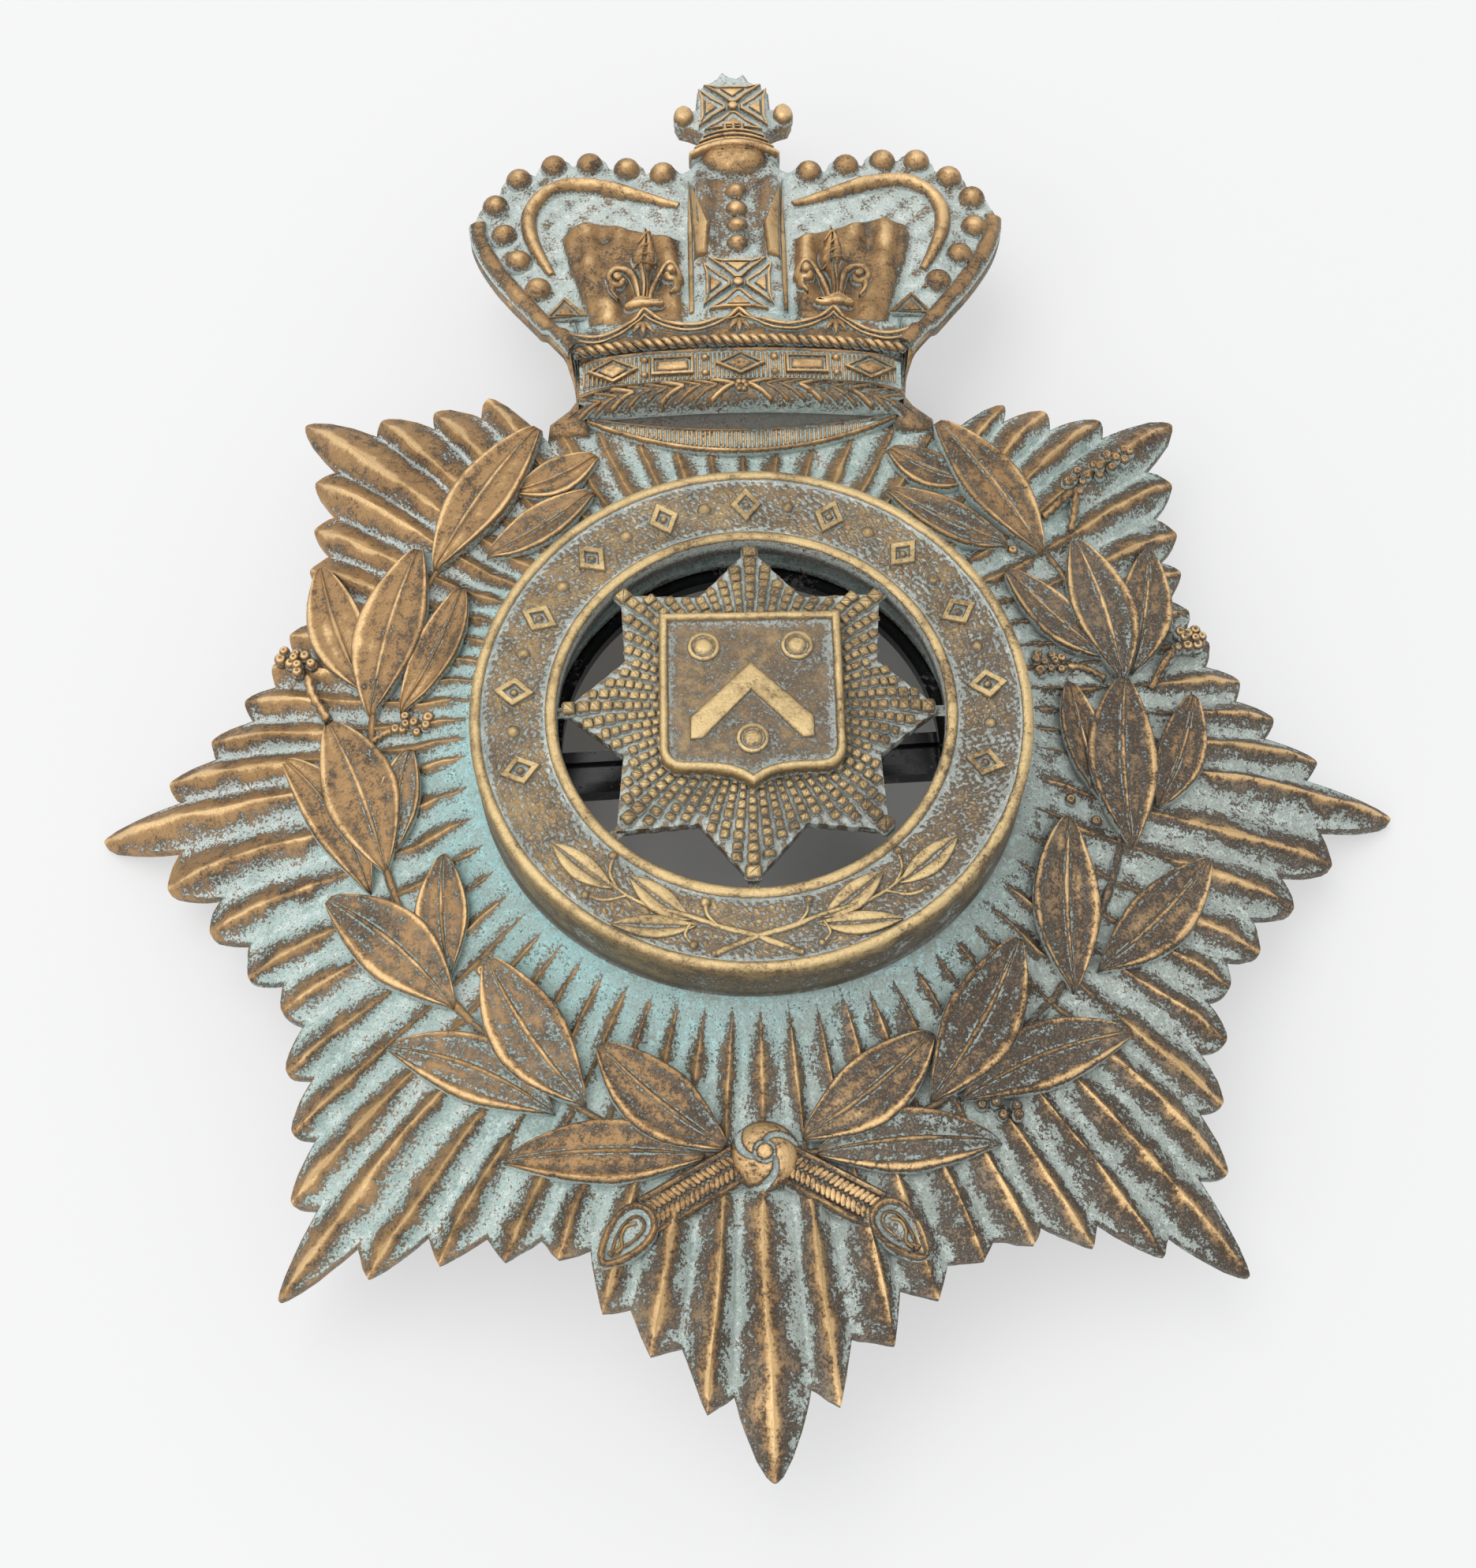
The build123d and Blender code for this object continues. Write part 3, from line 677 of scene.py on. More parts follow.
def rayColumns(tips):
    # one column of points for every station on both sides of every ridge
    rng = np.random.default_rng(4)
    notches = [rays["notch"] * rng.uniform(0.7, 1.45) for _ in tips]
    columns = []
    for i, (angle, far, wide, place) in enumerate(tips):
        strong, loose = rng.uniform(0.82, 1.08), rng.uniform(-0.07, 0.06)
        sway = rng.uniform(-1, 1) * rays["bend"]
        for side in (-1, 1):
            other, otherFar, _, otherPlace = tips[(i + side) % len(tips)]
            gap = ((other - angle + 180) % 360 - 180) * (place if side > 0 else 1 - otherPlace)
            valley = min(far, otherFar) - notches[i if side > 0 else i - 1]
            for station in rays["stations"][:0:-1] if side < 0 else rays["stations"][:-1]:
                columns.append((angle, gap, valley, far, station, wide + loose, strong, side, sway))
    return np.array(columns).T


def rayField():
    middle, gap, valley, reach, station, width, strength, hand, bend = rayColumns(rayTips())
    inner = np.array(rays["rows"])
    outer = (np.linspace(0, 1, rays["outerRows"] + 1)[1:] ** 0.92)[:, None]

    def spreadRows(ends):
        near = np.repeat(inner[:, None], len(middle), axis=1)
        return np.vstack([near, inner[-1] + outer * (ends - inner[-1])])

    # ridges are thin near the circlet and grow to their full width beyond the wreath
    guess = spreadRows(reach)
    foot = np.clip(width * np.interp(guess, *rays["slim"]), 0.08, 0.93)
    u = np.where(station <= 1, station * foot, foot + (station - 1) * (1 - foot))
    angles = middle + gap * u + bend * (1 - u) * smooth(guess, 26, 38) * (1 - smooth(guess, 40, 46))
    # the side tips are round lobes, those below are pointed, and the lowest point is a broad lance
    under = np.abs((middle + 90 + 180) % 360 - 180)
    lobe = rays["lowLobe"] + (rays["lobe"] - rays["lowLobe"]) * smooth(under, 26, 58)
    lobe = np.where(under < 3, rays["lanceLobe"], lobe)
    edges = reach - (reach - valley) * np.abs(u) ** lobe
    turn = np.radians(angles)
    edges = edges + 0.10 * ripple(edges * np.cos(turn), edges * np.sin(turn), 1.9, 5) * smooth(u, 0.1, 0.5)
    radii = spreadRows(edges[-1])
    x, y = radii * np.cos(turn), radii * np.sin(turn)
    fromEdge = edges[-1] - radii
    # the ridges flatten at the tips, under the circlet and where the crown's shoulders cross them
    amount = np.interp(radii, *rays["rise"])
    near = smooth(fromEdge, 0, rays["flatTip"])
    amount = plate["tipRise"] + (amount * strength - plate["tipRise"]) * np.where(radii > 33, near, 1)
    crossed = smooth(y, 25.6, 27.2) * (1 - smooth(np.abs(x), 11.5, 13.5))
    amount = np.where(radii < 21.6, 0, amount) * (1 - 0.9 * crossed)
    t = np.broadcast_to(station, radii.shape)
    flank = np.interp(t, rays["stations"], rays["flank"])
    wobble = (ripple(x, y, 4.5, 1) * 0.09 + ripple(x, y, 1.5, 2) * 0.07
              + ripple(x, y, 0.7, 3) * 0.03 * smooth(t, 0.5, 1.2))
    wobble = wobble * smooth(radii, 21, 23) * smooth(fromEdge, 0, 2)
    z = front(x, y) + amount * flank + wobble
    # the side that looks away from the light is painted darker, as shade, by taking wear from it
    away = np.maximum(hand * (-0.7 * np.sin(turn) - 0.7 * np.cos(turn)), 0)
    wear = np.interp(t, rays["stations"], rays["wear"])
    wear = wear + 0.16 * ripple(x, y, 3.2, 6) * (1 - smooth(t, 0.7, 1.2))
    wear = wear - 0.16 * away * smooth(t, 0.1, 0.5) * (1 - smooth(t, 1.1, 1.6))
    wear = wear * np.clip(amount / 0.7, 0.75, 1.0) * smooth(radii, 21.0, 22.2)
    wear = np.maximum(wear, 0.5 * (1 - smooth(fromEdge, 0, 0.5)))
    lean = 0.5 + 0.5 * np.cos(np.radians(np.degrees(turn) - rays["blueSide"]))
    blue = np.exp(-((radii - rays["blueAt"]) / rays["blueSpread"]) ** 2)
    bloom = blue * np.clip(0.15 + 1.2 * lean, 0, 1) + 0.14 * lean
    heap = Heap()
    rows, columns = radii.shape
    top = np.stack([x, y, z], axis=-1).reshape(-1, 3)
    back = top - (0, 0, plate["sheet"] - rays["backClear"])
    back[:, 2] = np.maximum(back[:, 2], 0.02)
    backWear = 0.40 + 0.14 * ripple(x, y, 5.0, 8).ravel() - 0.12 * wear.ravel()
    count = rows * columns
    skin = gridFaces(rows, columns, wrapColumns=True)
    j = np.arange(columns)
    k = (j + 1) % columns
    last = (rows - 1) * columns
    walls = [np.stack([last + j, last + j + count, last + k + count, last + k], axis=1),
             np.stack([j, k, k + count, j + count], axis=1)]
    heap.add(np.vstack([top, back]), [skin, skin[:, ::-1] + count] + walls,
             np.r_[wear.ravel(), backWear], np.r_[bloom.ravel(), bloom.ravel() * 0])
    return heap.piece("rayField", sharp=50, finish="ray_brass")


starField = rayField()
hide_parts("star_plate")
stage("field of rays made")

# ---- wreath ----

wreath = {
    "rise": 0.62, "lift": 0.55, "tipLift": 0.25, "stemHalf": 0.36, "stemRise": 0.62,
    "leaves": [
        # tip, foot, width, sideways bend, extra lift
        ((-16.4, 30.4), (-24.8, 17.4), 5.4, 0.5, 0.5), ((-11.9, 23.4), (-20.6, 18.2), 4.2, -0.4, 0.1),
        ((-11.6, 27.0), (-18.6, 24.2), 3.8, -0.5, 0.0), ((-26.0, 20.0), (-29.4, 5.0), 5.9, 0.5, 0.4),
        ((-34.6, 20.2), (-30.0, 7.4), 4.6, 0.5, 0.1), ((-22.3, 15.8), (-27.0, 5.0), 4.0, -0.5, 0.1),
        ((-32.9, 5.2), (-27.4, -8.4), 5.9, -0.4, 0.4), ((-36.6, 2.8), (-28.6, -9.8), 4.2, -0.9, 0.1),
        ((-25.9, 1.8), (-26.9, -7.0), 3.7, 0.4, 0.1), ((-32.2, -9.9), (-21.8, -19.6), 5.4, -0.6, 0.4),
        ((-22.9, -7.6), (-22.3, -17.0), 4.2, 0.4, 0.1), ((-19.6, -16.0), (-12.2, -27.4), 5.5, 0.6, 0.4),
        ((-26.8, -22.0), (-14.4, -27.8), 4.8, -0.8, 0.1), ((-11.5, -23.0), (-2.3, -30.9), 5.0, 0.5, 0.35),
        ((-18.2, -31.0), (-3.6, -31.3), 4.6, -0.4, 0.1),
        ((15.7, 30.2), (23.8, 17.8), 5.4, -0.5, 0.5), ((11.2, 23.0), (21.2, 18.4), 4.3, 0.4, 0.1),
        ((11.6, 27.2), (18.4, 24.4), 3.8, 0.5, 0.0), ((26.4, 19.8), (29.3, 7.0), 5.7, -0.5, 0.4),
        ((33.0, 20.2), (30.3, 8.0), 4.6, -0.4, 0.1), ((20.4, 16.2), (28.3, 8.8), 4.2, 0.4, 0.1),
        ((29.5, 7.5), (28.6, -7.4), 5.8, 0.5, 0.4), ((24.8, 6.6), (27.3, -4.4), 3.8, 0.4, 0.1),
        ((35.3, 7.0), (31.0, -3.8), 3.9, -0.5, 0.1), ((23.7, -5.4), (23.0, -19.2), 5.3, 0.4, 0.35),
        ((35.0, -7.4), (25.0, -17.4), 4.7, -0.5, 0.1), ((19.2, -15.4), (12.0, -27.6), 5.5, -0.5, 0.4),
        ((27.4, -21.9), (14.2, -27.4), 4.8, 0.7, 0.1), ((12.5, -22.6), (2.8, -30.3), 5.0, -0.5, 0.35),
        ((16.9, -30.4), (3.6, -31.3), 4.6, 0.5, 0.1),
    ],
    "stemLine": [(-2.2, -31.4), (-8.0, -30.2), (-13.4, -27.0), (-18.4, -22.8), (-22.4, -18.4), (-25.4, -13.2),
                 (-27.4, -8.2), (-28.6, -2.0), (-29.3, 4.2), (-28.2, 10.4), (-25.4, 16.4), (-21.6, 22.0)],
}
leafSection = [
    (-1.0, 0.0, 0.1), (-0.985, 0.58, 0.4), (-0.94, 0.84, 0.70), (-0.88, 0.88, 0.88), (-0.82, 0.82, 0.74),
    (-0.76, 0.66, 0.46), (-0.68, 0.58, 0.42), (-0.36, 0.66, 0.60), (-0.17, 0.64, 0.52), (-0.10, 0.56, 0.30),
    (-0.05, 0.76, 0.74), (0.0, 0.88, 0.95), (0.05, 0.76, 0.74), (0.10, 0.56, 0.30), (0.17, 0.64, 0.52),
    (0.36, 0.66, 0.62), (0.56, 0.58, 0.42), (0.64, 0.66, 0.46), (0.76, 0.88, 0.80), (0.84, 1.0, 1.02),
    (0.92, 0.95, 0.90), (0.985, 0.66, 0.5), (1.0, 0.0, 0.1),
]
roundSection = bothSides([
    (-1, 0, 0.1), (-0.92, 0.42, 0.4), (-0.7, 0.74, 0.7), (-0.36, 0.94, 0.95), (0, 1, 1)])


def leaf(heap, tip, foot, width, bend, lift, surface=front, section=leafSection,
         rise=wreath["rise"], count=30):
    tip, foot = np.array(tip), np.array(foot)
    s = np.linspace(0, 1, count)
    side = np.array([foot[1] - tip[1], tip[0] - foot[0]])
    side = side / np.linalg.norm(side)
    path = foot + (tip - foot) * s[:, None] + side * (bend * np.sin(math.pi * s))[:, None]
    half = width / 2 * np.sin(math.pi * s**0.92) ** 0.82 * (0.82 + 0.18 * smooth(s, 0, 0.5))
    half = np.maximum(half, 0.05)
    rise = rise * (0.45 + 0.55 * np.sin(math.pi * s) ** 0.6)
    body = lift + wreath["tipLift"] * smooth(s, 0.3, 1) * (1 - smooth(s, 0.9, 1))
    strip(heap, path, half, rise, section, lift=body * smooth(half, 0.0, 0.5), surface=surface)


def wreathLeaves():
    # every leaf's broad rim lies on its outer, lower side
    heap = Heap()
    rng = np.random.default_rng(9)
    for tip, foot, width, bend, lift in wreath["leaves"]:
        outward = (foot[1] - tip[1]) * np.sign(tip[0]) * 0.6 - (tip[0] - foot[0]) * 0.8
        panel = rng.uniform(-0.13, 0.12)
        section = [(a, h, w + panel * (abs(a) < 0.72) * (abs(a) > 0.12)) for a, h, w in leafSection]
        if outward < 0:
            section = [(-a, h, w) for a, h, w in section[::-1]]
        leaf(heap, tip, foot, width, bend, lift + wreath["lift"], section=section)
    return heap.piece("wreathLeaves", sharp=60)


def wreathStems():
    heap = Heap()
    for flip in (1, -1):
        line = curveThrough(flipped(wreath["stemLine"], flip), 90)
        knots = 1 + 0.14 * np.sin(np.linspace(0, 34, 90)) ** 2
        strip(heap, line, wreath["stemHalf"] * knots, wreath["stemRise"], rubbed(roundSection, 0.62))
    return heap.piece("wreathStems")


wreathLeaves()
wreathStems()

cutStems = {
    "from": (1.6, -31.9), "to": (7.8, -35.3), "halfStart": 1.5, "halfEnd": 1.62, "rise": 1.2, "beads": 17,
    "end": (9.4, -36.7), "length": 2.6, "width": 0.62, "lean": 18,
    "curl": [(-1.1, 0.1), (-0.5, 0.45), (0.2, 0.25), (0.7, -0.3), (1.3, -0.25)],
}
ribbonSection = bothSides([
    (-1, 0, 0.1), (-0.93, 0.6, 0.5), (-0.8, 0.86, 0.85), (-0.66, 0.8, 0.7), (-0.58, 0.62, 0.42),
    (0.0, 0.7, 0.5)])


def cutStemEnds():
    heap = Heap()
    for flip in (1, -1):
        start = np.array(cutStems["from"]) * (flip, 1)
        end = np.array(cutStems["to"]) * (flip, 1)
        s = np.linspace(0, 1, 50)[:, None]
        widen = cutStems["halfEnd"] - cutStems["halfStart"]
        half = cutStems["halfStart"] + widen * s[:, 0]
        strip(heap, start + (end - start) * s, half, cutStems["rise"], rubbed(ribbonSection, 0.92))
        # rows of slanting beads along the bark
        along = (end - start) / np.linalg.norm(end - start)
        side = np.array([-along[1], along[0]])
        lean = math.degrees(math.atan2(along[1], along[0]))
        for k in range(cutStems["beads"]):
            t = 0.06 + 0.055 * k
            wide = cutStems["halfStart"] + widen * t
            for row in (-1, 1):
                x, y = start + (end - start) * t + side * row * 0.30 * wide
                pad(heap, ringOutline(x, y, 0.34 * wide, 10, 0.52, lean + 90 - 25 * row), [
                    (0, 0.7, 0.32), (0.05, 0.94, 0.62), (0.13, 1.02, 0.82)])
        # the slanting cut at the end, a pointed ring round a curl
        cx, cy = np.array(cutStems["end"]) * (flip, 1)
        turn = math.radians(lean - cutStems["lean"] * flip)
        c, s = math.cos(turn), math.sin(turn)
        t = np.linspace(0, 2 * math.pi, 40, endpoint=False)
        a = cutStems["length"] * np.cos(t)
        b = cutStems["length"] * cutStems["width"] * np.sin(t) * (1 - 0.28 * np.cos(t))
        ring = np.stack([cx + a * c - b * s, cy + a * s + b * c], axis=1)
        pad(heap, ring, [
            (0, 0.9, 0.15), (0.1, 1.25, 0.6), (0.28, 1.4, 0.85), (0.5, 1.3, 0.62), (0.62, 1.0, 0.12),
            (0.85, 0.95, 0.1), (0.92, 1.15, 0.5), (1.06, 1.22, 0.8), (1.2, 1.0, 0.2), (1.35, 0.96, 0.1)])
        curl = [(cx + p * c - q * flip * s, cy + p * s + q * flip * c) for p, q in cutStems["curl"]]
        strip(heap, curveThrough(curl, 20), 0.2, 1.3, roundSection)
    return heap.piece("cutStems", sharp=60)


cutStemEnds()

berries = {
    # stalk, first and last place of the ear, berries along it
    "ears": [
        ([(26.4, 20.6), (26.9, 22.6), (27.2, 24.6)], (27.7, 25.7), (31.8, 28.8), 4),
        ([(24.2, 21.7), (25.6, 23.0), (26.8, 24.2)], (26.9, 24.8), (27.2, 25.6), 1),
        ([(31.7, 6.7), (32.7, 8.6), (33.9, 10.2)], (34.4, 11.2), (36.0, 11.6), 3),
        ([(28.0, 7.2), (26.4, 7.9), (25.0, 7.9)], (24.3, 7.9), (22.5, 7.4), 3),
        ([(-32.9, 5.4), (-34.2, 7.6), (-34.8, 9.4)], (-35.2, 10.3), (-36.4, 11.6), 3),
        ([(-29.5, 2.7), (-28.6, 3.3), (-27.6, 3.7)], (-27.0, 4.1), (-25.2, 3.6), 3),
        ([(13.8, -25.8), (15.3, -26.9)], (16.3, -27.5), (17.6, -28.3), 2),
    ],
    "single": [(-19.9, -16.8), (21.4, 18.3), (26.0, -5.3), (-23.4, -9.2), (24.0, -4.0)],
    "radius": 0.52, "spread": 0.58, "stray": 0.20, "lift": 0.95,
}


def overRays(x, y):
    # the rays stand high enough beyond the wreath to bury a berry
    return berries["lift"] * smooth(np.hypot(x, y), 31, 36)


def wreathBerries():
    heap = Heap()
    spots = []
    rng = np.random.default_rng(12)
    for stalk, first, last, count in berries["ears"]:
        line = curveThrough(stalk, 24)
        beaded = 0.36 + 0.08 * np.sin(np.linspace(0, 30, 24))
        strip(heap, line, beaded, 0.62, rubbed(roundSection, 0.85), lift=overRays(*line.T))
        first, last = np.array(first), np.array(last)
        along = (last - first) / max(np.linalg.norm(last - first), 0.1)
        side = np.array([-along[1], along[0]])
        for k in range(count):
            at = first + (last - first) * (k / max(count - 1, 1))
            for row in (-1, 1):
                stray = rng.uniform(-1, 1, 2) * berries["stray"]
                x, y = at + side * row * berries["spread"] + along * 0.28 * row + stray
                size = berries["radius"] * rng.uniform(0.78, 1.12)
                spots.append((x, y, size, size, 0.55, 0, 0.25 + overRays(x, y)))
            x, y = at + along * 0.45 + rng.uniform(-1, 1, 2) * berries["stray"]
            spots.append((x, y, 0.44, 0.44, 0.55, 0, 0.5 + overRays(x, y)))
    spots += [(x, y, 0.5, 0.5, 0.5, 0, 0.1) for x, y in berries["single"]]
    heap.piece("wreathStalks")
    beads("wreathBerries", "berry", spots, front)


wreathBerries()

bindingKnot = {
    "middle": (0.2, -31.4), "radius": 2.55, "height": 2.0, "arms": 3, "twist": 5.75, "groove": 0.42,
}


def knot():
    heap = Heap()
    cx, cy = bindingKnot["middle"]
    rho = np.r_[np.linspace(0.04, 0.94, 22), 0.98, 1.0]
    theta = np.linspace(0, 2 * math.pi, 96, endpoint=False)
    rho, theta = np.meshgrid(rho, theta, indexing="ij")
    wave = np.cos(bindingKnot["arms"] * theta + bindingKnot["twist"] * rho)
    groove = smooth(wave, 0.62, 0.98) * smooth(rho, 0.2, 0.34) * (1 - smooth(rho, 0.9, 1))
    collar = np.exp(-((rho - 0.27) / 0.05) ** 2) * 0.3
    dome = bindingKnot["height"] * np.sqrt(np.maximum(1 - rho**2.4, 0))
    height = dome - bindingKnot["groove"] * groove - collar
    x = cx + bindingKnot["radius"] * rho * np.cos(theta)
    y = cy + bindingKnot["radius"] * rho * np.sin(theta)
    z = front(x, y) + height
    z[-1] -= 0.35
    wear = np.clip(1 - groove * 1.2 - collar * 3, 0, 1) * (1 - smooth(rho, 0.8, 1) * 0.6)
    top = np.stack([x, y, z], axis=-1).reshape(-1, 3)
    rows, columns = x.shape
    ends = [list(range(columns)), list(range((rows - 1) * columns, rows * columns))[::-1]]
    heap.add(top, [gridFaces(rows, columns, wrapColumns=True), ends], wear.ravel())
    return heap.piece("bindingKnot")


knot()
stage("wreath made")

# ---- crown ----

crown = {
    "sheet": 0.86, "base": 0.85, "columns": 210, "rows": 150, "pearl": 1.22, "collar": 0.42, "half": 23.45,
    "waist": 13.6, "low": 30.2,
    "pearls": [
        (-6.3, 57.5), (-9.5, 58.4), (-12.8, 59.5), (-16.0, 59.8), (-19.1, 58.7), (-21.1, 55.7),
        (-20.2, 51.9), (-18.8, 48.4), (-17.0, 44.9), (6.5, 57.5), (9.8, 58.5), (13.1, 59.5), (16.2, 59.9),
        (19.0, 58.2), (20.9, 55.9), (20.8, 52.3), (19.2, 48.6), (17.1, 45.2)],
    "flank": [
        (13.5, 33.4), (13.7, 35.2), (14.5, 37.2), (16.0, 39.4), (18.2, 42.4), (20.4, 45.7), (22.1, 48.9),
        (23.15, 51.8), (23.45, 53.7)],
    "cap": [
        (4.4, 39.6), (4.5, 49.9), (7.2, 50.9), (10.4, 52.2), (12.9, 53.1), (14.9, 52.4), (15.5, 50.8),
        (14.9, 47.6), (13.7, 43.4), (12.8, 39.6)],
    # upper edge between the pearls, by distance across
    "upper": ([0, 3.3, 4.6, 7, 10, 13, 16, 19, 20.6, 21.8, 22.8, 23.45],
              [60.2, 60.0, 58.2, 58.1, 59.1, 60.0, 60.3, 59.2, 58.2, 57.0, 55.6, 53.7]),
    "ridge": [(5.0, 53.8), (8.6, 55.3), (12.0, 56.6), (14.8, 57.1), (16.9, 56.2), (18.0, 54.2), (17.9, 51.6),
              (17.0, 48.9), (15.9, 46.6)],
}


def crownEdge(x):
    # lower and upper edge of the struck crown at a distance across
    flank = curveThrough(crown["flank"], 80)
    ax = np.abs(x)
    low = np.interp(ax, flank[:, 0], flank[:, 1])
    low = crown["low"] + (low - crown["low"]) * smooth(ax, 13.0, 14.0)
    high = np.interp(ax, *crown["upper"])
    for cx, cy in crown["pearls"]:
        reach = crown["pearl"] + crown["collar"]
        inside = np.clip(reach**2 - (x - cx) ** 2, 0, None)
        over = (np.abs(x - cx) < reach) & (cy > 55)
        high = np.where(over, np.maximum(high, cy + np.sqrt(inside)), high)
    return low, np.maximum(high, low + 0.05)


def crownRise(x, y):
    # height of the struck crown above the plate's plain front
    ax = np.abs(x)
    cap = insideDistance(ax, y, crown["cap"])
    lane = np.min([np.hypot(ax - px, y - py) for px, py in curveThrough(crown["ridge"], 60)], axis=0)
    pillow = smooth(cap, -0.05, 1.1)
    fold = 0.26 * np.cos((ax - 12.6 + (48 - y) * 0.22) * 1.9) + 0.16 * np.cos((ax - 5.6) * 2.7 + y * 0.12)
    fold = fold + 0.16 * ripple(x, y, 2.4, 21)
    rise = crown["base"] + pillow * (1.05 + fold * smooth(cap, 0.1, 1.4))
    outer = smooth(ax, 14.2, 18.2) + smooth(y, 54.6, 57.2) * smooth(ax, 3.8, 4.8)
    rise = rise + 0.55 * np.clip(outer, 0, 1) * smooth(y, 39.2, 40.8)
    rise = rise + 0.35 * np.exp(-((lane / 0.55) ** 2))
    post = (1 - smooth(ax, 3.3, 4.1)) * smooth(y, 39.8, 41.0)
    cheeks = 0.7 * smooth(ax, 1.5, 2.8) * smooth(y, 46.4, 48.6) * (1 - smooth(y, 56.0, 57.6))
    rise = rise + post * (0.55 + cheeks)
    band = (1 - smooth(y, 39.4, 40.6)) * smooth(y, 36.2, 37.4)
    rise = rise + band * 1.05 - 0.5 * (1 - smooth(y, 36.2, 37.4))
    return rise + 0.05 * ripple(x, y, 3.0, 22)


def crownTop(x, y):
    return plain(x, y) + crownRise(x, y)


def crownSheet():
    across = np.linspace(-1, 1, crown["columns"])
    x = crown["half"] * np.sign(across) * np.abs(across) ** 0.94
    low, high = crownEdge(x)
    share = np.linspace(0, 1, crown["rows"])[:, None]
    y = low + (high - low) * share
    x = np.broadcast_to(x, y.shape)
    # the lower edge is hidden by the hoop except at the flanks
    fromEdge = np.minimum(high - y, np.where(np.abs(x) > crown["waist"], y - low, 9))
    z = crownTop(x, y) - 0.45 * (1 - smooth(fromEdge, 0, 0.7))
    rise = crownRise(x, y) - crown["base"]
    cap = insideDistance(np.abs(x), y, crown["cap"])
    inside = smooth(cap, 0.1, 0.7)
    # the folds' crests are rubbed, and their troughs keep tarnish
    wear = (0.10 + 0.12 * rise * (1 - inside) + 0.17 * ripple(x, y, 1.6, 24) * (1 - inside)
            + inside * (0.62 + 0.42 * (rise - 1.05)) + 0.05 * ripple(x, y, 3.2, 23))
    wear = wear + 0.42 * (1 - smooth(fromEdge, 0.2, 1.8)) * (np.abs(x) > 13) * (y < 54)
    wear = wear + 0.36 * (1 - smooth(y, 38.4, 39.6))
    post = (1 - smooth(np.abs(x), 3.0, 3.8)) * smooth(y, 40.0, 41.0) * smooth(y, 47, 48.5)
    wear = wear + 0.18 * post + 0.45 * smooth(y, 70.3, 71.0)
    top = np.stack([x, y, z], axis=-1).reshape(-1, 3)
    back = top - (0, 0, crown["sheet"])
    rows, columns = y.shape
    count = rows * columns
    skin = gridFaces(rows, columns)
    i, j = np.arange(rows - 1) * columns, np.arange(columns - 1)
    end = (rows - 1) * columns
    sides = [(j, j + 1), (end + j + 1, end + j), (i + columns, i), (i + columns - 1, i + 2 * columns - 1)]
    walls = []
    for a, b in sides:
        walls.append(np.stack([a, b, b + count, a + count], axis=1)[:, ::-1])
    heap = Heap()
    backWear = 0.38 + 0.14 * ripple(x, y, 5.0, 25).ravel()
    heap.add(np.vstack([top, back]), [skin, skin[:, ::-1] + count] + walls,
             np.r_[np.clip(wear, 0, 1).ravel(), backWear])
    return heap.piece("crownSheet", sharp=55)


crownSheet()
beads("crownPearls", "pearl",
      [(x, y, crown["pearl"], crown["pearl"], 1.25, 0, 0) for x, y in crown["pearls"]], crownTop)


cordKnots = [(-15.2, 39.9), (-7.9, 41.0), (0, 41.2), (7.9, 41.0), (15.2, 39.9)]


def crownCords():
    heap = Heap()
    for flip in (1, -1):
        ridge = curveThrough(flipped(crown["ridge"], flip), 80)
        swell = np.sin(math.pi * np.linspace(0.06, 0.94, 80)) ** 0.4
        half = 0.52 * swell
        strip(heap, ridge, half * 1.55, 0.85 * half / 0.52, roundSection, surface=crownTop)
        flank = curveThrough([(x * flip - 0.78 * flip, y + 0.30) for x, y in crown["flank"][2:]], 70)
        strip(heap, flank, np.linspace(0.72, 0.82, 70), 0.62, rubbed(roundSection, 0.72), surface=crownTop)
        wedge = flipped([(3.9, 56.3), (3.7, 47.0), (2.5, 47.2), (2.2, 50.5)], flip)
        pad(heap, wedge, [(0, 0, 0.2), (0.12, 0.45, 0.7), (0.35, 0.62, 1)], crownTop)
        side = flipped([(4.1, 57.2), (4.25, 50.0), (4.2, 41.2), (3.75, 41.2), (3.75, 50.0)], flip)
        pad(heap, side, [(0, 0, 0.2), (0.08, 0.3, 0.8), (0.16, 0.36, 1)], crownTop)
    # festoons hang between the knots
    t = np.linspace(0, 1, 22)
    for a, b in zip(cordKnots, cordKnots[1:]):
        line = np.stack([a[0] + (b[0] - a[0]) * t, a[1] + (b[1] - a[1]) * t - 8.2 * t * (1 - t)], axis=1)
        for drop, half in ((0.0, 0.24), (-0.62, 0.16)):
            strip(heap, line + (0, drop), half, 0.45, roundSection, surface=crownTop)
    return heap.piece("crownCords", sharp=60)


crownCords()

crosses = {"front": (0.0, 43.9, 3.0), "top": (0.0, 66.2, 3.15)}


def turned(shape, x, y, half, turn):
    c, s = math.cos(math.radians(turn)), math.sin(math.radians(turn))
    return [(x + half * (a * c - b * s), y + half * (a * s + b * c)) for a, b in shape]


def lifted(height):
    return lambda x, y: plain(x, y) + height


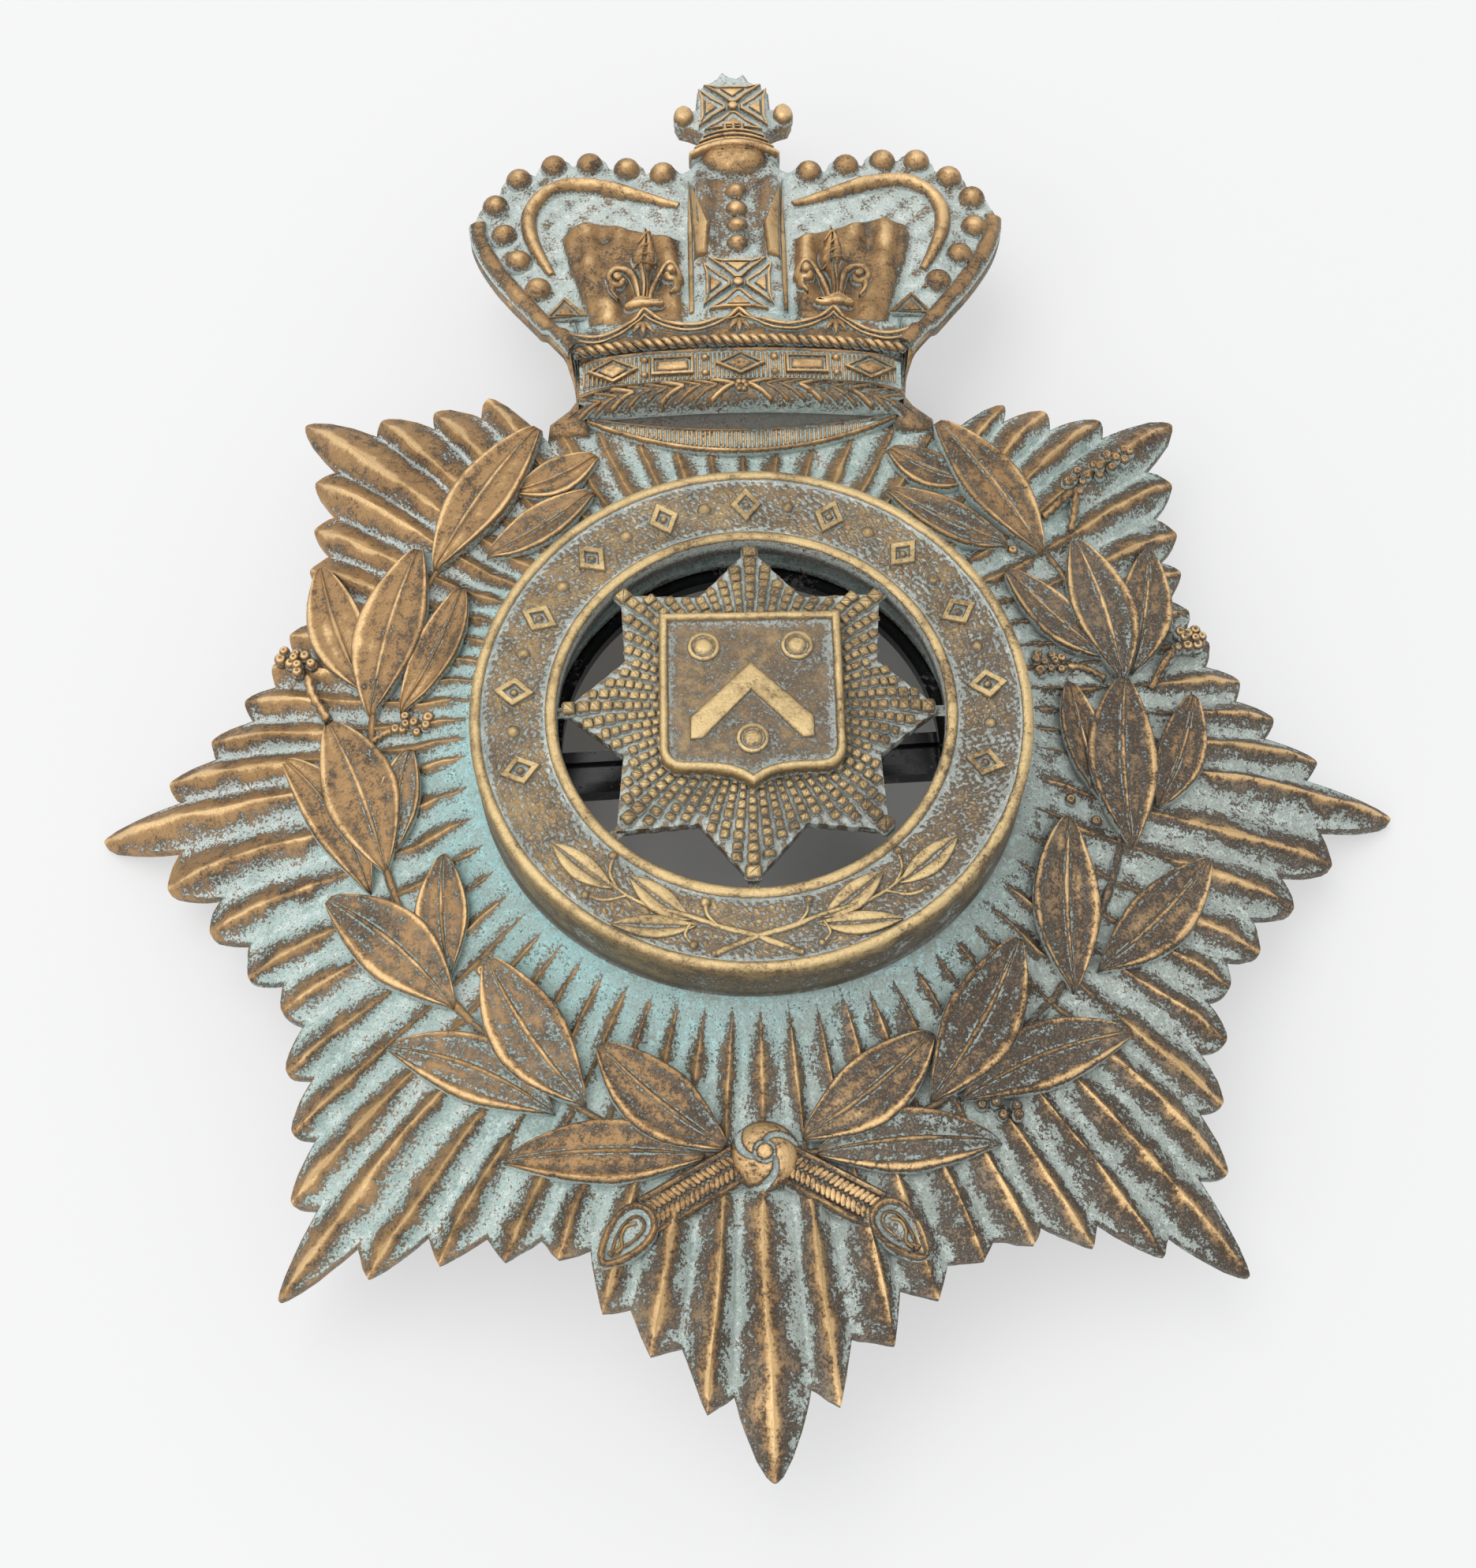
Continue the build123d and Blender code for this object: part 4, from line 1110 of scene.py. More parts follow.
def crownCrosses():
    heap = Heap()
    arm = [(-0.10, 0.20), (0.10, 0.20), (0.40, 0.56), (0.84, 0.99), (0.40, 0.92), (-0.40, 0.92),
           (-0.84, 0.99), (-0.40, 0.56)]
    heart = [(0, 0.44), (0.36, 0.80), (-0.36, 0.80)]
    for name, (x, y, half) in crosses.items():
        surface = crownTop if name == "front" else lifted(1.25)
        for k in range(4):
            pad(heap, turned(arm, x, y, half, 90 * k), [
                (0, 0, 0.1), (0.04, 0.45, 0.7), (0.09, 0.56, 0.95), (0.26, 0.56, 0.95), (0.32, 0.30, 0.15),
                (0.40, 0.26, 0.1)], surface)
            pad(heap, turned(heart, x, y, half, 90 * k),
                [(0, 0.2, 0.2), (0.06, 0.48, 0.7), (0.16, 0.56, 0.9)], surface)
        pad(heap, ringOutline(x, y, 0.5, 16),
            [(0, 0, 0.2), (0.03, 0.6, 0.6), (0.14, 0.8, 1), (0.3, 0.9, 1)], surface)
    # half crosses seen from the side at the foot of the flanks
    for flip in (1, -1):
        for corner, size in (((14.6, 42.6), 1.15), ((16.6, 45.2), 0.6)):
            shape = [(corner[0] * flip + a * size * flip, corner[1] + b * size) for a, b in
                     ((-1.7, -1.15), (1.6, -0.9), (0.1, 1.3))]
            pad(heap, shape, [
                (0, 0.1, 0.2), (0.05, 0.42, 0.8), (0.22 * size, 0.46, 0.9), (0.28 * size, 0.12, 0.1),
                (0.42 * size, 0.12, 0.1), (0.46 * size, 0.4, 0.7), (0.56 * size, 0.44, 0.8)], crownTop)
    # small three-petalled leaves under the festoons
    petal = bothSides([(-1, 0, 0.2), (-0.7, 0.8, 0.8), (0, 1, 0.95)])
    for x in (-8.0, 0.0, 8.0):
        for tip in ((-0.85, -0.75), (0, -1.15), (0.85, -0.75)):
            leaf(heap, (x + tip[0], 39.2 + tip[1]), (x, 39.9), 0.62, 0, 0.0, crownTop, petal, 0.42, 10)
    return heap.piece("crownCrosses", sharp=50)


crownCrosses()

lilies = {
    "places": [(-7.9, 44.6), (8.0, 44.6)],
    "curl": [
        (0.45, -2.6), (0.7, -1.2), (1.05, 0.2), (1.7, 1.15), (2.55, 1.2), (3.0, 0.4), (2.75, -0.4),
        (2.1, -0.45), (1.85, 0.15)],
    "tail": [(2.7, -0.2), (2.7, -1.3), (2.2, -2.1)],
}


def crownLilies():
    heap = Heap()
    petalSection = [(-1, 0, 0.1), (-0.9, 0.5, 0.5), (-0.6, 0.85, 0.9), (-0.3, 0.9, 0.9), (-0.1, 0.7, 0.4),
                    (0.1, 1.0, 1), (0.5, 0.85, 0.9), (0.9, 0.45, 0.5), (1, 0, 0.1)]
    for x, y in lilies["places"]:
        s = np.linspace(0, 1, 26)
        stem = np.stack([x + 0.12 * np.sin(s * 9), y - 3.0 + 8.6 * s], axis=1)
        half = 0.34 + 0.78 * np.exp(-((s - 0.62) / 0.2) ** 2) - 0.16 * smooth(s, 0.85, 1)
        half = np.minimum(half, 1.25 * (1.02 - s) * 3)
        strip(heap, stem, half, 0.85, petalSection, surface=crownTop)
        for k in range(4):
            u = np.linspace(-1, 1, 10)
            wide = 0.95 - 0.16 * k
            curl = np.stack([x + u * wide, y + 1.2 + 1.15 * k + 0.55 * u], axis=1)
            strip(heap, curl, 0.15, 0.98 - 0.35 * u**2, roundSection, surface=crownTop)
        for flip in (1, -1):
            for part, count, first, last, rise in (("curl", 34, 0.26, 0.42, 0.62),
                                                   ("tail", 14, 0.5, 0.12, 0.55)):
                line = curveThrough([(x + a * flip, y + b) for a, b in lilies[part]], count)
                strip(heap, line, np.linspace(first, last, count), rise, roundSection, surface=crownTop)
            pad(heap, ringOutline(x + 2.25 * flip, y + 0.3, 0.42, 14),
                [(0, 0.3, 0.3), (0.05, 0.75, 0.9), (0.2, 0.9, 1)], crownTop)
        pad(heap, ringOutline(x, y - 3.15, 1.75, 26, 0.32),
            [(0, 0.2, 0.2), (0.06, 0.7, 0.7), (0.2, 0.95, 1), (0.4, 1.05, 1)], crownTop)
    return heap.piece("crownLilies", sharp=60)


crownLilies()

orb = {
    "middle": (0.0, 59.4), "radius": 3.1, "knobs": [(-4.45, 65.3), (4.5, 65.4)],
    "stand": [
        (-3.9, 59.6), (-3.3, 61.8), (-2.9, 63.2), (-4.0, 63.9), (-4.9, 64.3), (-5.3, 65.4), (-4.8, 66.5),
        (-3.4, 66.6), (-3.2, 69.2), (-2.6, 70.1), (-1.9, 70.5), (-1.4, 71.0), (-0.9, 71.98), (-0.2, 71.2),
        (0.4, 71.0), (1.1, 71.7), (1.6, 70.5), (2.7, 69.6), (3.3, 68.9), (3.4, 66.6), (4.8, 66.6),
        (5.3, 65.4), (4.9, 64.3), (4.0, 63.9), (2.9, 63.2), (3.4, 61.8), (4.0, 59.6)],
    # height on the crown, reach, half width, rise and sag of the rings round it
    "rings": [(60.3, 3.9, 0.50, 1.25, -1.0), (61.2, 3.5, 0.28, 0.75, -0.7), (61.9, 3.1, 0.22, 0.65, -0.55),
              (62.5, 2.7, 0.18, 0.6, -0.4)],
}


def crownOrb():
    heap = Heap()
    pad(heap, orb["stand"], [
        (0, 0.0, 0.3), (0.02, 0.45, 0.45), (0.14, 0.72, 0.35), (0.3, 0.86, 0.15), (0.5, 0.93, 0.08)],
        lifted(0.3), root=0.9)
    dome = [(0, 0.2, 0.1), (0.1, 0.7, 0.4), (0.35, 1.1, 0.62), (0.8, 1.5, 0.78), (1.4, 1.75, 0.86),
            (2.1, 1.9, 0.8)]
    pad(heap, ringOutline(*orb["middle"], orb["radius"], 40, 0.76), dome, lifted(0.9))
    t = np.linspace(-1, 1, 40)
    for y, wide, half, rise, sag in orb["rings"]:
        strip(heap, bowed(t, wide, y, sag), half * (1.02 - 0.5 * t**4), rise, roundSection,
              lift=0.6 + 0.5 * (1 - t**2), surface=lifted(0.7))
    for x, y in orb["knobs"]:
        pad(heap, ringOutline(x, y, 0.92, 20, 1.3), [
            (0, 0.2, 0.1), (0.03, 0.6, 0.5), (0.14, 0.95, 0.8), (0.4, 1.25, 1), (0.6, 1.32, 1)], lifted(0.85))
    for x in (-0.75, 0, 0.75):
        line = np.stack([np.full(10, x), np.linspace(62.0, 63.6, 10)], axis=1)
        strip(heap, line, 0.2, 0.6, roundSection, lift=0.3, surface=lifted(1.2))
    return heap.piece("crownOrb", sharp=55)


crownOrb()
beads("archPearls", "pearl", [(0.05, 48.6 + 2.1 * k, 1.02, 0.9, 1.0, 0, 0) for k in range(4)],
      crownTop)

hoop = {
    "half": 13.3, "middle": 35.05, "roll": 32.1, "rollHalf": 13.4, "bow": -0.42, "jewelBow": -0.30,
    "liningHalf": 11.6, "lining": 27.85, "liningBow": 2.3, "ticks": 0.36,
    "jewels": [(0, 2.1, 1.2, "lozenge"), (-5.6, 1.75, 0.95, "oblong"), (5.5, 1.75, 0.95, "oblong"),
               (-10.5, 2.15, 1.3, "lozenge"), (10.7, 2.2, 1.3, "lozenge")],
    "shoulder": [(12.4, 33.9), (13.4, 33.3), (14.2, 32.0), (15.8, 30.7), (15.9, 29.4), (12.4, 29.2)],
}


def crownHoop():
    heap = Heap()
    t = np.linspace(-1, 1, 90)
    band = bothSides([
        (-1, 0, 0.1), (-0.97, 0.8, 0.5), (-0.9, 0.94, 0.7), (-0.8, 0.88, 0.5), (-0.74, 0.72, 0.12),
        (0, 0.75, 0.14)])
    strip(heap, bowed(t, hoop["half"], hoop["middle"], hoop["jewelBow"]), 1.85,
          1.2 * (1 - 0.75 * np.abs(t) ** 10), band, lift=0.6, surface=plain)
    # the roll under the hoop, browner on its lower side as painted shade, the recess below it painted dark as
    # shade, and the lining with its edges
    end = np.sqrt(np.clip(1.0 - np.abs(t) ** 5, 0.02, 1))
    roll = np.stack([t * hoop["rollHalf"], hoop["roll"] + hoop["bow"] * t**2 - 0.5 * np.abs(t) ** 7], axis=1)
    # painted shade: the roll's lower side keeps more wear, so it turns brown where the upper side turns to
    # pale crust
    rollPaintedShadeBelow = [(a, h, (0.50 - 0.14 * a) * w) for a, h, w in roundSection]
    strip(heap, roll, 1.32 * end, 2.0 * end, rollPaintedShadeBelow, lift=0.45, surface=plain)
    # painted shade: the recess is dull and darkened through its bloom
    recessPaintedShade = [(a, h, 0.1) for a, h, _ in roundSection]
    strip(heap, bowed(t, 12.6, 30.25, 0.8), 1.25 * (1.02 - t**2), 0.35, recessPaintedShade,
          lift=0.12, surface=plain, bloom=-0.64)
    for drop, half, wear in ((-2.55, 0.24, 0.85), (-0.55, 0.12, 0.5)):
        line = bowed(t, 12.6, 29.3 + drop, 1.5 - drop * 0.9)
        strip(heap, line, half, 0.5, rubbed(roundSection, wear), lift=0.42, surface=plain)
    strip(heap, bowed(t, hoop["liningHalf"], hoop["lining"], hoop["liningBow"]), 1.0 * (1.03 - t**2), 0.4,
          bothSides([(-1, 0, 0.1), (-0.9, 0.9, 0.2), (0, 1, 0.12)]), lift=0.25, surface=plain)
    for x, wide, tall, kind in hoop["jewels"]:
        y = hoop["middle"] + hoop["jewelBow"] * (x / hoop["half"]) ** 2
        shape = {"lozenge": [(wide, 0), (0, tall), (-wide, 0), (0, -tall)],
                 "oblong": [(wide, tall), (-wide, tall), (-wide, -tall), (wide, -tall)]}[kind]
        pad(heap, [(x + a, y + b) for a, b in shape], [
            (0, 0.3, 0.3), (0.04, 0.72, 0.8), (0.2, 0.78, 0.9), (0.28, 0.42, 0.1), (0.42, 0.40, 0.1),
            (0.50, 0.66, 0.7), (0.70, 0.74, 0.85)], lifted(1.2))
    # shoulders that carry the crown down into the star
    for flip in (1, -1):
        pad(heap, flipped(hoop["shoulder"], flip), [
            (0, 0.0, 0.3), (0.1, 0.55, 0.5), (0.5, 0.85, 0.62), (0.95, 1.0, 0.55)], plain)
    return heap.piece("crownHoop", sharp=55)


crownHoop()


def rollLeaves():
    # feathered leaves along the roll that point to the flower in the middle, each third one bold
    heap = Heap()
    surface = lifted(2.32)
    for k in range(-9, 10):
        x = k * 1.36
        out = abs(x / hoop["rollHalf"])
        y = hoop["roll"] + hoop["bow"] * out**2 - 0.5 * out**7
        if k == 0:
            for n in range(6):
                ring = ringOutline(x + 0.42 * math.cos(n * 1.047), y + 0.42 * math.sin(n * 1.047), 0.3, 10)
                pad(heap, ring, [(0, 0, 0.3), (0.08, 0.3, 0.8), (0.2, 0.36, 0.9)], surface)
            continue
        way, bold = (-1 if k > 0 else 1), k % 3 == 1 if k > 0 else k % 3 == 2
        first, last, rise, wear = (0.24, 0.30, 0.62, 0.95) if bold else (0.16, 0.24, 0.50, 0.72)
        fall = 0.75 * (abs(x) / 12.4) ** 4
        for side in (1, -1):
            line = [(x + 0.75 * way, y), (x - 0.1 * way, y + 0.40 * side), (x - 1.1 * way, y + 1.05 * side)]
            strip(heap, curveThrough(line, 12), np.linspace(first, last, 12), rise,
                  rubbed(roundSection, wear), surface=surface, root=1.4,
                  lift=0.02 - fall - 0.80 * np.linspace(0, 1, 12) ** 2)
    return heap.piece("rollLeaves", sharp=60)


rollLeaves()


def twist(line, radius, turns, phase):
    # one strand wound about a line of (x, y, z)
    turn = 2 * math.pi * turns * np.linspace(0, 1, len(line)) + phase
    along = np.gradient(line, axis=0)
    side = np.stack([-along[:, 1], along[:, 0], 0 * turn], axis=1)
    side /= np.linalg.norm(side, axis=1)[:, None]
    up = np.array([0, 0, 1]) * (radius * np.sin(turn))[:, None]
    return line + side * (radius * np.cos(turn))[:, None] + up


def crownTwist():
    t = np.linspace(-1, 1, 300)
    x, y = 13.6 * t, 37.3 - 0.25 * t**2
    line = np.stack([x, y, crownTop(x, y) + 0.22], axis=1)
    strands = [(twist(line, 0.25, 17, phase), 1.0) for phase in (0, math.pi)]
    cords("crownTwist", strands, 0.27, 7)
    ticks = []
    for x in np.arange(-10.2, 10.3, hoop["ticks"]):
        middle = hoop["lining"] + hoop["liningBow"] * (x / hoop["liningHalf"]) ** 2
        half = 0.80 * (1.0 - (x / hoop["liningHalf"]) ** 2)
        y = np.linspace(middle - half, middle + half, 4)
        ticks.append((np.stack([np.full(4, x), y, plain(x, y) + 0.66], axis=1), 0.8))
    for x in np.arange(-12.9, 13.0, hoop["ticks"]):
        y = np.linspace(33.75, 36.35, 4) + hoop["jewelBow"] * (x / 13.5) ** 2
        ticks.append((np.stack([np.full(4, x), y, plain(x, y) + 1.50], axis=1), 0.8))
    cords("crownHatching", ticks, 0.13, 6)
    dots = [(x, 35.0 + side * 0.8, 0.36, 0.36, 0.42, 0, -0.2)
            for x in (-2.9, 2.8, -7.9, 7.9) for side in (1, -1)]
    beads("hoopPearls", "pearl", dots, lifted(1.72))


crownTwist()
stage("crown made")

# ---- circlet ----

circlet = {
    "outer": 20.5, "inner": 14.14, "middle": 17.3, "top": crest + 6.5, "rim": 0.88, "floor": 0.38,
    "sheet": 0.9, "wall": 0.9, "foot": 8.5, "lip": 2.0, "stipple": 0.115, "steps": 600,
}
circletFloor = circlet["top"] - circlet["floor"]


def circletSection():
    # radius and height round the cut of the sheet, from the inner lip over both rims and down the wall
    c = circlet
    top, floor = c["top"] - 0.01, circletFloor
    inRim, outRim = c["inner"] + c["rim"], c["outer"] - c["rim"]
    section = [(c["inner"], top - c["lip"]), (c["inner"], top - 1.5), (c["inner"], top - 0.25),
               (c["inner"] + 0.08, top - 0.08), (c["inner"] + 0.28, top), (inRim - 0.3, top),
               (inRim - 0.08, top - 0.1), (inRim, top - 0.3), (inRim + 0.06, floor)]
    section += [(r, floor) for r in np.linspace(inRim + 0.16, outRim - 0.16, 36)]
    section += [(outRim - 0.06, floor), (outRim, top - 0.3), (outRim + 0.1, top - 0.08), (outRim + 0.3, top),
                (c["outer"] - 0.42, top), (c["outer"] - 0.16, top - 0.09), (c["outer"] - 0.03, top - 0.34)]
    section += [(c["outer"], top - h) for h in (0.7, 1.6, 2.6, 3.5, 4.2, c["foot"])]
    section += [(c["outer"] - c["wall"], top - c["foot"]), (c["outer"] - c["wall"], top - c["sheet"] - 0.6),
                (c["outer"] - c["wall"] - 0.6, top - c["sheet"]), (c["inner"] + 1.3, top - c["sheet"]),
                (c["inner"] + 0.7, top - c["sheet"] - 0.6), (c["inner"] + 0.7, top - c["lip"])]
    return section


def makeCirclet():
    section = circletSection()
    points = [((r - circlet["middle"]) * layout["scale"], -z * layout["scale"], 0) for r, z in section]
    edges = [(i, (i + 1) % len(points)) for i in range(len(points))]
    mesh = grown("circletRing", "turned", "centre_brass", points, edges,
                 values={"Radius": circlet["middle"] * layout["scale"], "Steps": circlet["steps"]})
    at = np.empty(len(mesh.vertices) * 3)
    mesh.vertices.foreach_get("co", at)
    x, y, z = at.reshape(-1, 3).T * 1000
    reach = np.hypot(x, y)
    # the wall stands on the plate, and the ground between the rims is stippled
    seat = front(x, y) + 0.03
    z = np.maximum(z, np.where(reach > 19, seat, -99))
    inRim, outRim = circlet["inner"] + circlet["rim"] + 0.1, circlet["outer"] - circlet["rim"] - 0.1
    band = (np.abs(z - circletFloor) < 0.02) & (reach > inRim) & (reach < outRim)
    rough = ripple(x, y, 0.40, 11) * 0.75 + np.random.default_rng(7).uniform(-0.45, 0.45, len(x))
    z = z + np.where(band, rough * circlet["stipple"], 0)
    edge = 1 - smooth(np.minimum(reach - inRim, outRim - reach), 0.05, 0.55)
    ground = 0.50 + 0.42 * np.clip(rough, -1, 1) - 0.26 * edge + 0.08 * ripple(x, y, 4.0, 14)
    wear = np.where(band, ground, smooth(z, circletFloor, circlet["top"] - 0.02))
    low = z < circlet["top"] - 0.3
    outside, inside = (reach > circlet["outer"] - 0.05) & low, (reach < circlet["inner"] + 0.2) & low
    wear = np.where(outside, 0.50 + 0.30 * smooth(z, circlet["top"] - 2.2, circlet["top"] - 0.5)
                    - 0.40 * (1 - smooth(z - seat, 0, 1.0)) + 0.12 * ripple(x, y, 5.0, 15), wear)
    # the inner lip is darkened, and the outer wall darker towards its foot
    darkBloom = np.where(inside, -0.6, 0)
    darkBloom = np.where(outside, -0.52 * (1 - smooth(z, circlet["top"] - 4.6, circlet["top"] - 2.2)), darkBloom)
    wobble = ripple(x, y, 6.0, 13) * 0.02
    at = np.stack([x, y, z + np.where(z > circletFloor + 0.05, wobble - 0.02, 0)], axis=1)
    mesh.vertices.foreach_set("co", toRow(at).ravel())
    for key, data in (("wear", wear), ("bloom", darkBloom)):
        keepField(mesh, key, data)
    mesh.update()
    return settle("circletRing", mesh, "centre_brass", sharp=55)


circletRing = makeCirclet()
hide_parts("circlet")

motifs = {"radius": 17.32, "lozenges": 11, "from": 196.0, "to": -16.0, "long": 1.62, "wide": 1.28}


def circletMotifs():
    # plain lozenges with pellets between them, set round the upper part of the circlet
    heap = Heap()
    floor = level(circletFloor - 0.02)
    long, wide = motifs["long"], motifs["wide"]
    pellets = []
    turns = np.linspace(motifs["from"], motifs["to"], motifs["lozenges"])
    for i, turn in enumerate(turns):
        x, y = polar(motifs["radius"], turn)
        outline = turned([(long, 0), (0, wide), (-long, 0), (0, -wide)], x, y, 1, turn)
        pad(heap, outline, [
            (0, 0.0, 0.2), (0.05, 0.28, 0.7), (0.13, 0.38, 0.95), (0.46, 0.38, 0.95), (0.54, 0.26, 0.6),
            (0.58, 0.05, 0.1)], floor, root=0.1)
        pellets.append((x, y, 0.34, 0.34, 0.34, 0, 0))
        if i:
            between = (turn + turns[i - 1]) / 2
            pellets.append((*polar(motifs["radius"], between), 0.58, 0.58, 0.40, 0, 0))
    heap.piece("circletLozenges", "centre_brass", sharp=50)
    beads("circletPellets", "pearl", pellets, floor, "centre_brass")


circletMotifs()

sprays = {
    "leaves": [((-14.3, -10.5), (-10.0, -14.0), 2.1), ((-8.9, -13.1), (-4.6, -16.5), 2.1),
               ((-10.1, -16.7), (-4.2, -16.9), 1.85)],
    "stalks": [
        [(2.9, -19.0), (0.0, -17.8), (-2.4, -17.1), (-4.7, -16.2), (-7.4, -15.4), (-9.0, -14.6),
         (-10.2, -13.6)],
        [(-2.6, -17.1), (-3.4, -16.2), (-3.6, -15.3)], [(-4.6, -16.7), (-5.0, -17.6), (-4.5, -18.4)],
        [(-9.0, -14.6), (-10.6, -14.9), (-11.9, -14.5)], [(-9.6, -14.2), (-10.2, -12.9), (-10.0, -11.7)]],
    "berries": [(-3.6, -15.2), (-4.4, -18.4), (-11.9, -14.5), (-10.0, -11.6)],
}


def circletSprays():
    heap = Heap()
    floor = level(circletFloor - 0.02)
    flatLeaf = bothSides(
        [(-1, 0, 0.2), (-0.94, 0.8, 0.8), (-0.8, 1, 1), (-0.25, 0.9, 0.95), (-0.1, 0.62, 0.5), (0, 0.5, 0.3)])
    dots = []
    for flip in (1, -1):
        for tip, foot, width in sprays["leaves"]:
            leaf(heap, *flipped([tip, foot], flip), width, 0.12 * flip, -0.2, floor, flatLeaf, 0.46, 18)
        for stalk in sprays["stalks"]:
            # the main stalk thins toward its tip
            half = np.linspace(0.34, 0.17, 26) if len(stalk) > 4 else np.linspace(0.15, 0.19, 26)
            strip(heap, curveThrough(flipped(stalk, flip), 26), half, 0.27, roundSection,
                  surface=floor, root=0.05)
        dots += [(x, y, 0.42, 0.42, 0.40, 0, 0) for x, y in flipped(sprays["berries"], flip)]
        dots.append((3.0 * flip, -19.0, 0.30, 0.30, 0.3, 0, 0))
    heap.piece("circletSprays", "centre_brass")
    beads("circletBerries", "pearl", dots, floor, "centre_brass")


circletSprays()
stage("circlet made")

# ---- centre star ----

star = {
    "tip": 13.65, "valley": 10.0, "plane": circlet["top"] - 0.55, "rise": 0.62, "sheet": 0.85, "turn": -0.7,
    "rows": 8, "neckHalf": 0.42, "inner": 14.16, "beadsFrom": 5.6, "beadsStop": 0.34,
}


def starEdge(turn):
    # reach of the outline at an angle from a tip, and its share of the way from that tip to the valley
    half = 22.5
    u = np.abs((turn + half) % 45 - half) / half
    tip, valley = star["tip"], star["valley"]
    across = tip * np.sin(np.radians(half * u)) + valley * np.sin(np.radians(half * (1 - u)))
    return tip * valley * math.sin(math.radians(half)) / across, u


def starTop(x, y):
    turn = np.degrees(np.arctan2(y, x)) - star["turn"]
    edge, u = starEdge(turn)
    inward = edge - np.hypot(x, y)
    return star["plane"] + 0.3 * u + (star["rise"] - 0.3 * u) * smooth(inward, -0.2, 3.2 - 1.6 * u)


def centreStar():
    turns = np.arange(0, 360, 0.9375)
    edge = starEdge(turns)[0]
    share = np.r_[0.02, np.linspace(0.3, 1, 26)][:, None]
    radii = share * edge
    angle = np.radians(turns + star["turn"])
    x, y = radii * np.cos(angle), radii * np.sin(angle)
    furrow = np.cos(np.radians(turns * 8 * star["rows"]))
    z = starTop(x, y) + 0.07 * furrow * smooth(radii, 4, 6) - 0.02
    wear = np.clip(0.12 + 0.34 * furrow, 0, 1) * smooth(radii, 4, 6)
    wear = wear + 0.2 * (1 - smooth(edge - radii, 0, 0.4))
    rows, columns = radii.shape
    count = rows * columns
    top = np.stack([x, y, z], axis=-1).reshape(-1, 3)
    back = top - (0, 0, star["sheet"])
    skin = gridFaces(rows, columns, wrapColumns=True)
    j = np.arange(columns)
    k = (j + 1) % columns
    last = (rows - 1) * columns
    rim = np.stack([last + j, last + j + count, last + k + count, last + k], axis=1)
    ends = [list(range(columns)), list(range(count, count + columns))[::-1]]
    heap = Heap()
    heap.add(np.vstack([top, back]), [skin, skin[:, ::-1] + count, rim, ends],
             np.r_[wear.ravel(), 0.3 + wear.ravel() * 0.2])
    # a short neck joins every tip to the circlet
    w, near, far = star["neckHalf"], star["tip"] - 0.9, star["inner"]
    for k in range(8):
        neck = turned([(near, -w), (far, -w), (far, w), (near, w)], 0, 0, 1, 45 * k + star["turn"])
        pad(heap, neck, [(0, -0.5, 0.2), (0.15, -0.36, 0.4)], level(star["plane"]), root=0.4)
    return heap.piece("centreStar", "centre_brass", sharp=50)


def starBeads():
    spots = []
    rng = np.random.default_rng(3)
    pitch = 45 / star["rows"]
    for k in range(8 * star["rows"]):
        turn = k * pitch
        edge = float(starEdge(np.array(turn))[0])
        middle = k % star["rows"] == 0
        reach = star["beadsFrom"] + 0.3 * (k % 2)
        while reach < edge - star["beadsStop"]:
            near = smooth(reach, 10.6, 13.0) if middle else 0
            length = (0.26 + 0.012 * reach + 0.14 * near) * rng.uniform(0.88, 1.12)
            half = reach * math.sin(math.radians(pitch / 2)) * (0.86 + 0.10 * near)
            wide = half * rng.uniform(0.86, 1.06)
            x, y = polar(reach, turn + star["turn"])
            tall = (0.10 + 0.022 * reach + 0.16 * near) * rng.uniform(0.75, 1.15)
            spots.append((x, y, length, wide, tall, turn + star["turn"] + rng.uniform(-4, 4), 0.02))
            reach += 2 * length
    return beads("starBeads", "pad", spots, starTop, "centre_brass")


starPlate = centreStar()
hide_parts("centre_star")
starBeads()
stage("centre star made")

# ---- shield ----

shield = {
    "half": 6.65, "top": 7.08, "low": 5.7, "point": 6.98, "corner": 1.7, "thick": 1.5, "sunk": 0.5,
    "roundel": 1.25,
    "chevron": [(-4.5, -3.35), (-3.55, -3.35), (0, 0.55), (3.55, -3.35), (4.5, -3.35), (4.5, -1.55), (0, 3.0),
                (-4.5, -1.55)],
    "roundels": [(-3.4, 4.2), (3.4, 4.2), (0, -3.3)],
}


def shieldOutline():
    s = shield
    line = [(0, s["top"]), (s["half"] * 0.5, s["top"]), (s["half"], s["top"]),
            (s["half"], 3.0), (s["half"], 0.0), (s["half"], s["corner"] - s["low"])]
    for turn in (22, 45, 68, 90):
        t = math.radians(turn)
        line.append((s["half"] - s["corner"] * (1 - math.cos(t)), s["corner"] * (1 - math.sin(t)) - s["low"]))
    for x, drop in ((4.0, 0.01), (3.0, 0.06), (2.2, 0.15), (1.5, 0.33), (0.9, 0.58), (0.4, 0.93)):
        line.append((x, -s["low"] - drop))
    return line + [(0, -s["point"])] + flipped(line[:0:-1], -1)


